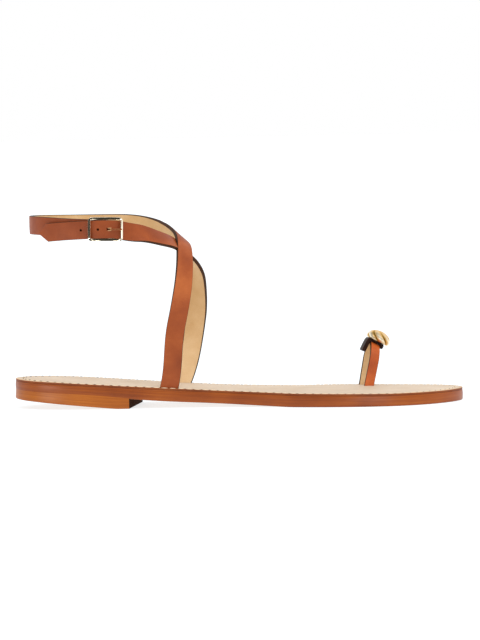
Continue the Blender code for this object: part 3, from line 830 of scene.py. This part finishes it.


# Strap leather, with painted light and shade by height: a touch darker above the sole, lighter up the
# risers, darker round the ankle and in the buckle.
STRAP_LEATHER = leather(
    "strap_leather", ((0.1, 196, 106, 48), (0.5, 156, 72, 25), (0.9, 122, 49, 14)),
    1500.0, 0.22, 0.5, painted_shades=((0.0, 12.0, 0.07), (25.0, 75.0, -0.17), (88.0, 94.0, 0.23)))
# Lining leather, with painted light and shade by height: lighter just above the sole and darker towards the
# top.
LINING_LEATHER = leather(
    "lining_leather", ((0.0, 236, 203, 157), (0.5, 208, 166, 114), (1.0, 186, 144, 95)),
    1100.0, 0.3, 0.62, painted_shades=((0.0, 9.0, -0.35), (12.0, 70.0, 0.35)))
LOOP_LEATHER = leather(
    "loop_leather", ((0.3, 212, 108, 46), (0.5, 186, 86, 32), (0.7, 158, 66, 22)), 1500.0, 0.22, 0.5)
EDGE_DYE = paint("edge_paint", ((0.3, 78, 50, 34), (0.7, 56, 34, 22)), 0.5)
# Keeper: near-black brown on its faces and edges alike.
KEEPER_DARK = paint("keeper_dark", ((0.3, 52, 26, 14), (0.7, 32, 15, 8)), 0.5)
INSOLE_LEATHER = leather(
    "insole_leather", ((0.25, 220, 201, 179), (0.5, 213, 192, 168), (0.75, 202, 180, 154)),
    900.0, 0.3, 0.58, patch=45.0)
INSOLE_EDGE = leather(
    "insole_edge", ((0.25, 152, 78, 24), (0.5, 134, 62, 14), (0.75, 108, 46, 10)), 1400.0, 0.2, 0.5)
INSOLE_RIM = leather(
    "insole_rim", ((0.25, 226, 192, 152), (0.5, 214, 176, 134), (0.75, 190, 150, 108)),
    1400.0, 0.2, 0.55)
SOLE_SIDE = burnished(
    "sole_side", ((0.3, 172, 90, 24), (0.5, 148, 69, 13), (0.72, 114, 48, 8)), 1500.0, 0.36)
SOLE_UNDER = leather(
    "sole_under", ((0.25, 204, 150, 104), (0.5, 186, 132, 88), (0.75, 164, 112, 72)),
    700.0, 0.35, 0.6, patch=40.0)
HEEL_SIDE = burnished(
    "heel_side", ((0.3, 194, 112, 34), (0.5, 170, 90, 20), (0.72, 138, 64, 10)), 1700.0, 0.36)
HEEL_BREAST = leather(
    "heel_breast", ((0.25, 66, 38, 20), (0.5, 54, 30, 14), (0.75, 42, 22, 10)),
    700.0, 0.3, 0.9, patch=60.0, shine=0.03)
THREAD = paint("thread", ((0.3, 238, 218, 188), (0.7, 222, 198, 162)), 0.7)
# Needle holes: dark colour standing for the painted shade in the holes.
NEEDLE_HOLE_SHADE = paint("needle_hole_shade", ((0.3, 96, 58, 32), (0.7, 64, 36, 20)), 0.7)
# Gold: painted light from the dome's points, its darkest stop a painted dark reflection and its palest a
# painted highlight.
GOLD = polished_metal(
    "gold", ((0.12, 56, 42, 16), (0.5, 232, 182, 96), (0.95, 255, 248, 226)), 0.30, lobed=True)
PALE_GOLD = polished_metal("pale_gold", ((0.3, 250, 240, 218), (0.7, 243, 229, 200)), 0.10)
# Prong gold: darker and browner than the frame's, as painted reflection of darker surroundings.
PRONG_SHADED_GOLD = polished_metal("prong_shaded_gold", ((0.3, 214, 142, 98), (0.7, 198, 124, 82)), 0.34)
STRAP_FINISH = (STRAP_LEATHER, EDGE_DYE, LINING_LEATHER)
LOOP_FINISH = (LOOP_LEATHER, EDGE_DYE, LINING_LEATHER)


def set_values(obj, name, values):
    """A number on each point of a piece, for its material."""
    attribute = obj.data.attributes.new(name, "FLOAT", "POINT")
    attribute.data.foreach_set("value", np.asarray(values, np.float32))


def set_layers(obj, low):
    """Height of each point over a curve of the length, for streaks that follow the sole."""
    mesh = obj.data
    places = np.empty(len(mesh.vertices) * 3)
    mesh.vertices.foreach_get("co", places)
    places = places.reshape(-1, 3) / MM - OFFSET
    set_values(obj, "layer", (places[:, 2] - low(places[:, 0] / LENGTH)) * MM)


def floor_rows(insets, height, taper=0.0):
    """Rows (inset, height, rise over it) of an underside with an eased edge."""
    rows = [(taper + inset, height, 0.0) for inset in insets]
    for angle in EASE_ANGLES:
        rows.append((taper + SOLE_EASE * (1 - sin(angle)), height, SOLE_EASE * (1 - cos(angle))))
    return rows


def make_sole():
    """Full-length outsole with a burnished side."""
    stations = whole_stations()
    rings = [sole_ring(stations, *row) for row in floor_rows(SOLE_FLOOR_INSETS, UNDER)]
    bottom = rings[-1]
    top = sole_ring(stations, 0.0, RIM, -INSOLE_THICK - SOLE_EASE)
    outward = bottom[:, :2] - inset_edge(stations, 1.0)
    for share in np.linspace(0, 1, SOLE_SIDE_ROWS + 1)[1:-1]:
        ring = bottom + share * (top - bottom)
        ring[:, :2] += SOLE_BULGE * 4 * share * (1 - share) * outward
        rings.append(ring)
    for angle in EASE_ANGLES:
        inset = SOLE_EASE * (1 - cos(angle))
        rings.append(sole_ring(stations, inset, RIM, SOLE_EASE * (sin(angle) - 1) - INSOLE_THICK))
    rings.append(sole_ring(stations, SOLE_TOP_INSET, RIM, -INSOLE_THICK))
    side_rows = range(len(SOLE_FLOOR_INSETS), len(rings) - 1)

    def zone(row, column):
        return SOLE_BURNISHED if row in side_rows and column is not None else SOLE_BARE

    shape = loft(rings, zone, caps="paired", columns=SOLE_COLUMNS)
    sole = mesh_object("sole", [shape], (SOLE_SIDE, SOLE_UNDER))
    set_layers(sole, UNDER)
    dress(sole, "sole_leather", "outsole")


def make_heel():
    """Low stacked lift with a dark breast."""
    eased = 1 - np.cos(np.arange(1, HEEL_POINTS + 1) * pi / 2 / HEEL_POINTS)
    outer = station_at(BREAST_OUTER * eased, inner=False)
    inner = station_at(BREAST_INNER * eased[::-1], inner=True)
    stations = np.concatenate(([0.0], outer, inner))
    turn = len(outer)

    def ring(inset, height, extra):
        flat = inset_edge(stations, inset)
        shares = np.linspace(0, 1, BREAST_POINTS + 2)[1:-1, None]
        breast = flat[turn] + shares * (flat[turn + 1] - flat[turn])
        flat = np.concatenate((flat[:turn + 1], breast, flat[turn + 1:]))
        return np.column_stack((flat, height(flat[:, 0] / LENGTH) + extra))

    rings = [ring(*row) for row in floor_rows(HEEL_FLOOR_INSETS, HEEL_FLOOR, HEEL_TAPER)]
    bottom = rings[-1]
    top = ring(0.0, UNDER, SOLE_EASE - HEEL_TOP_DROP)
    for share in np.linspace(0, 1, HEEL_SIDE_ROWS + 1)[1:]:
        rings.append(bottom + share * (top - bottom))
    rings += [ring(SOLE_EASE * inset, UNDER, SOLE_EASE * rise) for inset, rise in HEEL_SEAM]
    breast_columns = range(turn, turn + BREAST_POINTS + 1)

    def zone(row, column):
        if column is None or row < len(HEEL_FLOOR_INSETS):
            return HEEL_BARE
        return HEEL_DARK if column in breast_columns else HEEL_BURNISHED

    shape = loft(rings, zone, caps="paired", columns=SOLE_COLUMNS)
    heel = mesh_object("heel_stack", [shape], (HEEL_SIDE, HEEL_BREAST, SOLE_UNDER))
    set_layers(heel, HEEL_FLOOR)
    dress(heel, "heel_leather", "heel")


def slot_cutter(points, outs, width, thick):
    """Box round the foot of a strap, for its slot in the insole."""
    along = unit(points[FOOT_RINGS] - points[0])
    out = unit(outs[0] - along * np.dot(outs[0], along))
    half = width / 2 + SLOT_CLEARANCE
    deep = thick / 2 + SLOT_CLEARANCE
    axes = (np.cross(out, along), out, along)
    return box_shape(points[0], axes, ((-half, half), (-deep, deep), SLOT_REACH), SOCK_EDGE)


def make_insole(cutters):
    """Crowned leather sock with a sewn rim and slots for the straps and the toe loop."""
    stations = whole_stations()
    rings = [sole_ring(stations, INSOLE_INSET + inset, RIM, height) for inset, height in INSOLE_SECTION]

    def zone(row, column):
        if column is None or row >= INSOLE_RIM_ROWS:
            return SOCK_TOP
        return SOCK_EDGE if row < INSOLE_EDGE_ROWS else SOCK_RIM

    shape = loft(rings, zone, caps="paired", columns=INSOLE_COLUMNS, crown=INSOLE_CROWN)
    insole = mesh_object("insole_sock", [shape], (INSOLE_LEATHER, INSOLE_EDGE, INSOLE_RIM))
    combine(insole, "strap_slots", cutters, "DIFFERENCE")
    dress(insole, "insole_leather", "insole")


def make_stitches():
    """Rim stitches, one joined piece: beads of thread with dark beads of painted shade for the needle holes
    between them.
    """
    fine = np.linspace(0, 2, SEAM_SAMPLES)
    shares = EDGE(fine)[:, 0] / LENGTH
    further = ease(np.clip(1 - np.minimum(shares, 1 - shares) / STITCH_END_REACH, 0, 1))
    insets = INSOLE_INSET + STITCH_INSET + STITCH_END_INSET * further
    path = sole_ring(fine, insets[:, None], RIM, STITCH_BASE + STITCH_END_RISE * further)
    run = run_along(path)

    def on_seam(place):
        return np.array([np.interp(place % run[-1], run, path[:, axis]) for axis in range(3)])

    count = round(run[-1] / STITCH_PITCH)
    nudge = 0.5
    shapes = []
    for index in range(2 * count):
        place = run[-1] * index / (2 * count)
        centre = on_seam(place)
        along = unit(on_seam(place + nudge) - centre)
        level = unit(np.cross((0.0, 0.0, 1.0), along))
        side = unit(level + (0.0, 0.0, STITCH_LEAN))
        axes = (along, side, np.cross(along, side))
        if index % 2 == 0:
            shapes.append(bead_shape(centre, axes, STITCH_RADII, BEAD_THREAD))
        else:
            # Dark bead of painted shade for a needle hole, smaller towards the toe.
            shrunk = 1 - NEEDLE_SHRINK * centre[0] / LENGTH
            shapes.append(bead_shape(centre, axes, NEEDLE_RADII * shrunk, BEAD_HOLE_SHADE))
    stitches = mesh_object("rim_stitches", shapes, (THREAD, NEEDLE_HOLE_SHADE))
    dress(stitches, "insole_leather")


def outer_strap_line():
    """Outer strap's points, outward directions and sections, ending in its eye."""
    points, outs, _ = strap_line(OUTER_STRAP, OUTER_CREASES)
    eye_points, eye_outs, eye_thicks = eye_sections()
    thicks = np.concatenate(([STRAP_THICK] * (len(points) - 1), eye_thicks))
    points = np.concatenate((points[:-1], eye_points))
    outs = np.concatenate((outs[:-1], eye_outs))
    return points, outs, [strap_section(STRAP_WIDTH, thick) for thick in thicks]


def inner_strap_line():
    """Inner strap's points, outward directions and sections, broad on the riser and pointed at the end."""
    points, outs, turns = strap_line(INNER_STRAP, INNER_CREASES)
    widths = np.array([STRAP_WIDTH + hump(turn, *INNER_SPREAD) for turn in turns])
    kept = len(points) - ceil(TIP_LENGTH / STRAP_STEP) - 1
    shares = np.linspace(0, 1, 2 * TIP_STEPS)[1:, None]

    def straightened(rows):
        return np.concatenate((rows[:kept], rows[kept - 1] + shares * (rows[-1] - rows[kept - 1])))

    points = straightened(points)
    outs = straightened(outs)
    widths = np.concatenate((widths[:kept], [STRAP_WIDTH] * len(shares)))
    left = np.linalg.norm(points - points[-1], axis=1)
    slope = (STRAP_WIDTH / 2 - TIP_HALF_WIDTH) / TIP_LENGTH
    widths = np.minimum(widths, 2 * (TIP_HALF_WIDTH + slope * left))
    return points, outs, [strap_section(width, STRAP_THICK) for width in widths]


def buckle_slot(forward, outward, width):
    """Box in the buckle's frame that cuts a slot through a strap."""
    return box_shape(BUCKLE_AT, BUCKLE_AXES, (forward, outward, (-width / 2, width / 2)), EDGE_PAINT)


def hole_cutters():
    """Punches through the inner strap: the prong's slot and a row of round holes."""
    cutters = [buckle_slot(PRONG_SLOT, PRONG_SLOT_OUT, PRONG_SLOT_WIDTH)]
    course = strap_course(INNER_STRAP)
    for hole in range(HOLE_COUNT):
        forward = HOLE_FIRST - hole * HOLE_PITCH
        turn = BUCKLE_TURN + degrees(forward / TURN_LENGTH)
        point, out = strap_place(course, turn)
        up = BUCKLE_AXES[2]
        axes = (np.cross(up, out), up, out)
        cutters.append(bar_shape(HOLE_RADIUS * circle(ROUND_SIDES), point, axes, HOLE_REACH, EDGE_PAINT))
    return cutters


def make_strap(name, line, tool, cutters):
    """One strap with painted edges, a tan lining and what is cut out of it."""
    rings = sweep_rings(*line)
    seat_foot(rings, 0, FOOT_RINGS)
    strap = mesh_object(name, [loft(rings, strap_zone)], STRAP_FINISH)
    combine(strap, tool, cutters, "DIFFERENCE")
    dress(strap, "strap_leather", "upper")


def buckle_line():
    """Middle line of the buckle's bowed frame, its outward directions and its half width."""
    length = (BUCKLE_LENGTH - BUCKLE_WIRE) / 2
    width = (BUCKLE_WIDTH - BUCKLE_WIRE) / 2
    corners = np.split(round_section(2 * length, 2 * width, BUCKLE_CORNER, CORNER_STEPS), 4)
    shares = np.linspace(-1, 1, RAIL_STEPS + 2)[1:-1]
    rail = np.column_stack(((length - BUCKLE_CORNER) * shares, [-width] * RAIL_STEPS))
    flat = np.concatenate((corners[0], -rail, corners[1], corners[2], rail, corners[3]))
    bow = BAR_OUT + BOW_OUT * (flat[:, 0] / length) ** 2
    points = lay(flat, BUCKLE_AT, BUCKLE_AXES[0], BUCKLE_AXES[2]) + np.outer(bow, BUCKLE_AXES[1])
    past = np.clip(np.abs(flat) - (length - BUCKLE_CORNER, width - BUCKLE_CORNER), 0, None)
    turned = np.arctan2(past[:, 0], past[:, 1]) * 2 / pi
    rail_lean = -2 * BOW_OUT * flat[:, 0] / length ** 2
    bar_lean = np.where(flat[:, 0] < 0, -BAR_LEAN[0], BAR_LEAN[1])
    lean = rail_lean + turned * (bar_lean - rail_lean)
    outs = BUCKLE_AXES[1] + np.outer(lean, BUCKLE_AXES[0])
    return points, outs, width


def make_buckle():
    """Polished frame with a centre bar."""
    points, outs, width = buckle_line()
    section = round_section(BUCKLE_WIRE, BUCKLE_WIRE, BUCKLE_EASE)
    rings = sweep_rings(points, outs, [section] * len(points), wrap=True)
    buckle = mesh_object("buckle", [loft(rings, wrap=True)], (PALE_GOLD,), METAL_SMOOTH)
    bar = bar_shape(BAR_RADIUS * circle(ROUND_SIDES), BAR_AT, BUCKLE_AXES, (-width, width))
    combine(buckle, "centre_bar", [bar], "UNION", METAL_SMOOTH)
    dress(buckle, "gold_metal", "buckle_frame")


def make_prong():
    """Prong: a ring on the centre bar and a tongue with a rounded tip."""
    small, large = PRONG_RING
    section = round_section(large - small, PRONG_WIDTH, PRONG_RING_EASE) + ((small + large) / 2, 0.0)
    rings = []
    for angle in PRONG_RING_TURNS:
        away = cos(angle) * BUCKLE_AXES[0] + sin(angle) * BUCKLE_AXES[1]
        rings.append(lay(section, BAR_AT, away, BUCKLE_AXES[2]))
    prong = mesh_object("prong", [loft(rings, wrap=True)], (PRONG_SHADED_GOLD,), METAL_SMOOTH)
    forwards = np.linspace(PRONG_TONGUE[0][0], PRONG_TONGUE[-1][0], PRONG_STEPS)
    tongue = np.column_stack((forwards, spline(PRONG_TONGUE)(forwards)))
    points = lay(tongue, BUCKLE_AT, *BUCKLE_AXES[:2])
    left = (PRONG_TONGUE[-1][0] - forwards) / PRONG_WIRE
    taper = np.clip(PRONG_TIP - left, 0, PRONG_TIP_MOST)
    wires = PRONG_WIRE * np.sqrt(1 - taper ** 2 * PRONG_TIP_ROUND)
    sections = [round_section(wire, wire, MOST_EASE * wire) for wire in wires]
    rings = sweep_rings(points, np.array([BUCKLE_AXES[1]] * len(points)), sections)
    combine(prong, "tongue", [loft(rings)], "UNION", METAL_SMOOTH)
    dress(prong, "gold_metal", "buckle_prong")


def loop_line():
    """Toe loop's middle line with its outward directions."""
    start = np.array((*LOOP_OUTER_FOOT, LOOP_BASE))
    span = np.array((*LOOP_INNER_FOOT, LOOP_BASE)) - start
    half = np.linalg.norm(span) / 2
    over = unit(span)
    rise = np.array((LOOP_LEAN, 0.0, 1.0))
    places = [(-half, high, 0.0) for high in np.linspace(0, LOOP_LEG, LOOP_LEG_POINTS)[:-1]]
    for angle in np.radians(np.linspace(0, 180, LOOP_ARCH_POINTS)):
        places.append((-half * cos(angle), LOOP_LEG + LOOP_RISE * sin(angle), sin(angle)))
    places += [(half, high, 0.0) for high in np.linspace(LOOP_LEG, 0, LOOP_LEG_POINTS)[1:]]
    more = np.array((-LOOP_LEAN_MORE / half, 0.0, 0.0))
    middle = start + span / 2
    points = np.array([middle + over * side + (rise + more * side) * high for side, high, _ in places])
    along = unit(np.gradient(points, axis=0))
    forward = unit(np.cross(over, rise))
    outs = np.cross(forward, along)
    twist = np.radians(LOOP_TWIST * np.array([place[2] for place in places]))[:, None]
    outs = outs * np.cos(twist) + np.cross(outs, along) * -np.sin(twist)
    return points, outs


def make_toe_loop(points, outs):
    """Narrow leather loop that the big toe passes through."""
    rings = sweep_rings(points, outs, [strap_section(LOOP_WIDTH, LOOP_THICK)] * len(points))
    seat_foot(rings, 0, FOOT_RINGS)
    seat_foot(rings, -1, -1 - FOOT_RINGS)
    loop = mesh_object("toe_ring", [loft(rings, strap_zone)], LOOP_FINISH)
    dress(loop, "strap_leather", "toe_loop")


def crest_frame(points, outs):
    """Origin and forward, outward and crosswise directions at the loop's crest."""
    crest = len(points) // 2
    along = unit(points[crest + 1] - points[crest - 1])
    return points[crest], (np.cross(along, outs[crest]), outs[crest], along)


def make_keeper(origin, axes):
    """Leather tab folded over the crest of the toe loop."""
    fold = np.array(KEEPER_FOLD)
    rings = []
    for inner, outer in zip(lay(fold[:, :2], origin, *axes[:2]), lay(fold[:, 2:], origin, *axes[:2])):
        section = strap_section(KEEPER_LENGTH, np.linalg.norm(outer - inner))
        rings.append(lay(section, (inner + outer) / 2, axes[2], unit(outer - inner)))
    keeper = mesh_object("keeper", [loft(rings)], (KEEPER_DARK,))
    dress(keeper, "edge_leather", "toe_keeper")


def make_ornament(origin, axes):
    """Gold dome with swirled ribs, and the painted light and shade of its gold at each point."""
    start = radians(DOME_START)
    centre = origin + axes[0] * DOME_FORWARD + axes[1] * (DOME_BASE - DOME_RADII[2] * sin(start))
    angles = np.arange(DOME_SIDES) * 2 * pi / DOME_SIDES
    rings = []
    painted_tones = []
    for rise in np.linspace(start, radians(DOME_END), DOME_LEVELS):
        lobes = np.abs(np.sin(DOME_RIBS / 2 * (angles + DOME_SWIRL * rise))) ** DOME_RIB_POWER
        fade = cos(rise) ** DOME_FADE
        reach = cos(rise) * (1 + DOME_RIB_DEPTH * (2 * lobes - 1) * fade)
        flat = circle(DOME_SIDES) * DOME_RADII[:2] * reach[:, None]
        rings.append(lay(flat, centre + axes[1] * DOME_RADII[2] * sin(rise), axes[0], axes[2]))
        # Painted highlight on the rib crests, painted shade in the grooves and towards the top.
        painted_tones.append(1 - (1 - lobes) * fade - DOME_TOP_SHADE * max(0.0, sin(rise)))
    dome = mesh_object("ornament", [loft(rings)], (GOLD,), DOME_SMOOTH)
    set_values(dome, "painted_lobe_light", np.concatenate(painted_tones))
    dress(dome, "gold_metal", "toe_ornament")


# Stage, in metres and degrees: floor, key light, and cards that only shiny surfaces mirror.
FLOOR_SIZE = (12.0, 12.0)
FLOOR_COLOUR = (0.30, 0.335, 0.365, 1.0)
FLOOR_LIGHT = (0.95, 0.985, 1.0, 1.0)
FLOOR_GLOW = 0.77
KEY_FROM = (0.35, -0.6, 1.0)
KEY_SPREAD = 40.0
KEY_ENERGY = 0.9
WHITE = (1.0, 1.0, 1.0, 1.0)
CARD_COLOUR = (0.03, 0.025, 0.015, 1.0)
UPWARD = (0.0, 0.0, 1.0)

# Each card's name, place, size, the way that it faces, and its glow.
CARDS = (
    ("front_card", (-2.25, -1.3, 0.72), (15.5, 1.6), (0.0, 1.0, 0.0), 0.0),
    ("low_card", (-0.2, -1.0, 0.002), (5.4, 0.7), UPWARD, 0.0),
    ("low_left_card", (-1.15, -0.42, 0.002), (2.1, 0.5), UPWARD, 0.0),
    ("low_right_card", (0.8, -0.51, 0.002), (0.9, 0.28), UPWARD, 0.0),
    ("top_card", (0.1, -0.1, 1.2), (1.8, 1.0), (0.0, 0.0, -1.0), 0.2),
    ("side_card", (0.7, -0.22, 0.002), (0.7, 0.26), UPWARD, 2.2),
    ("near_card", (0.09, -0.37, 0.002), (0.52, 0.56), UPWARD, 0.0),
    ("heel_card", (-0.24, -0.20, 0.022), (0.10, 0.044), (0.55, 0.83, 0.0), 8.0),
    ("toe_card", (0.10, -0.20, 0.022), (0.10, 0.044), (-0.1, 1.0, 0.0), 5.0),
)


def add_plane(name, place, size, colour, light, glow, roughness=0.8):
    """Level plane with a matt material and its glow."""
    bpy.ops.mesh.primitive_plane_add(size=1.0, location=place)
    plane = bpy.context.object
    plane.name = name
    plane.scale = (*size, 1.0)
    material, *_ = new_material(
        name, Base_Color=colour, Emission_Color=light, Emission_Strength=glow, Roughness=roughness)
    plane.data.materials.append(material)
    return plane


def make_stage():
    """Pale floor, white surroundings, one wide key light, and dark and bright cards for the metal."""
    scene = bpy.context.scene
    scene.view_settings.view_transform = "Standard"
    world = bpy.data.worlds.new("studio")
    world.use_nodes = True
    background = world.node_tree.nodes["Background"].inputs
    background["Color"].default_value = WHITE
    background["Strength"].default_value = 1.0
    scene.world = world

    floor = add_plane("floor", (0.0, 0.0, 0.0), FLOOR_SIZE, FLOOR_COLOUR, FLOOR_LIGHT, FLOOR_GLOW)

    sun = bpy.data.objects.new("key", bpy.data.lights.new("key", "SUN"))
    sun.data.energy = KEY_ENERGY
    sun.data.angle = radians(KEY_SPREAD)
    sun.rotation_euler = Vector(KEY_FROM).to_track_quat("Z", "Y").to_euler()
    scene.collection.objects.link(sun)

    for name, place, size, facing, glow in CARDS:
        card = add_plane(name, place, size, CARD_COLOUR, WHITE, glow, roughness=0.9)
        card.rotation_euler = Vector(facing).to_track_quat("Z", "Y").to_euler()
        card.visible_camera = False
        card.visible_diffuse = False
        card.visible_shadow = False


def make_camera():
    """Camera at the photograph's angle and framing."""
    azimuth, elevation, roll = np.radians((CAMERA_AZIMUTH, CAMERA_ELEVATION, CAMERA_ROLL))
    right = np.array((cos(azimuth), sin(azimuth), 0.0))
    level = cos(elevation)
    back = np.array((sin(azimuth) * level, -cos(azimuth) * level, sin(elevation)))
    up = np.cross(back, right)
    target = np.array((LENGTH / 2, 0.0, 0.0)) + OFFSET + VIEW_ASIDE * right + VIEW_RISE * up
    place = (target + CAMERA_DISTANCE * back) * MM
    rolled_right = right * cos(roll) - up * sin(roll)
    rolled_up = up * cos(roll) + right * sin(roll)
    camera = bpy.data.objects.new("camera", bpy.data.cameras.new("camera"))
    camera.data.sensor_width = SENSOR
    camera.data.lens = SENSOR * CAMERA_DISTANCE / VIEW_HEIGHT
    axes = np.column_stack((rolled_right, rolled_up, back, place))
    camera.matrix_world = Matrix((*[tuple(line) for line in axes], (0.0, 0.0, 0.0, 1.0)))
    bpy.context.scene.collection.objects.link(camera)
    bpy.context.scene.camera = camera


def main():
    """Camera, stage and every piece of the sandal."""
    make_camera()
    make_stage()
    outer = outer_strap_line()
    inner = inner_strap_line()
    loop = loop_line()
    far_foot = (loop[0][::-1], loop[1][::-1])
    cutters = [slot_cutter(line[0], line[1], STRAP_WIDTH, STRAP_THICK) for line in (outer, inner)]
    cutters += [slot_cutter(*line, LOOP_WIDTH, LOOP_THICK) for line in (loop, far_foot)]
    make_sole()
    make_heel()
    make_insole(cutters)
    make_stitches()
    eye_cutters = [buckle_slot(EYE_SLOT_FORWARD, EYE_SLOT_OUT, EYE_SLOT_WIDTH)]
    make_strap("outer_strap", outer, "eye_slot", eye_cutters)
    make_strap("inner_strap", inner, "punched_holes", hole_cutters())
    make_buckle()
    make_prong()
    make_toe_loop(*loop)
    crest = crest_frame(*loop)
    make_keeper(*crest)
    make_ornament(*crest)


main()
bpy.context.view_layer.update()
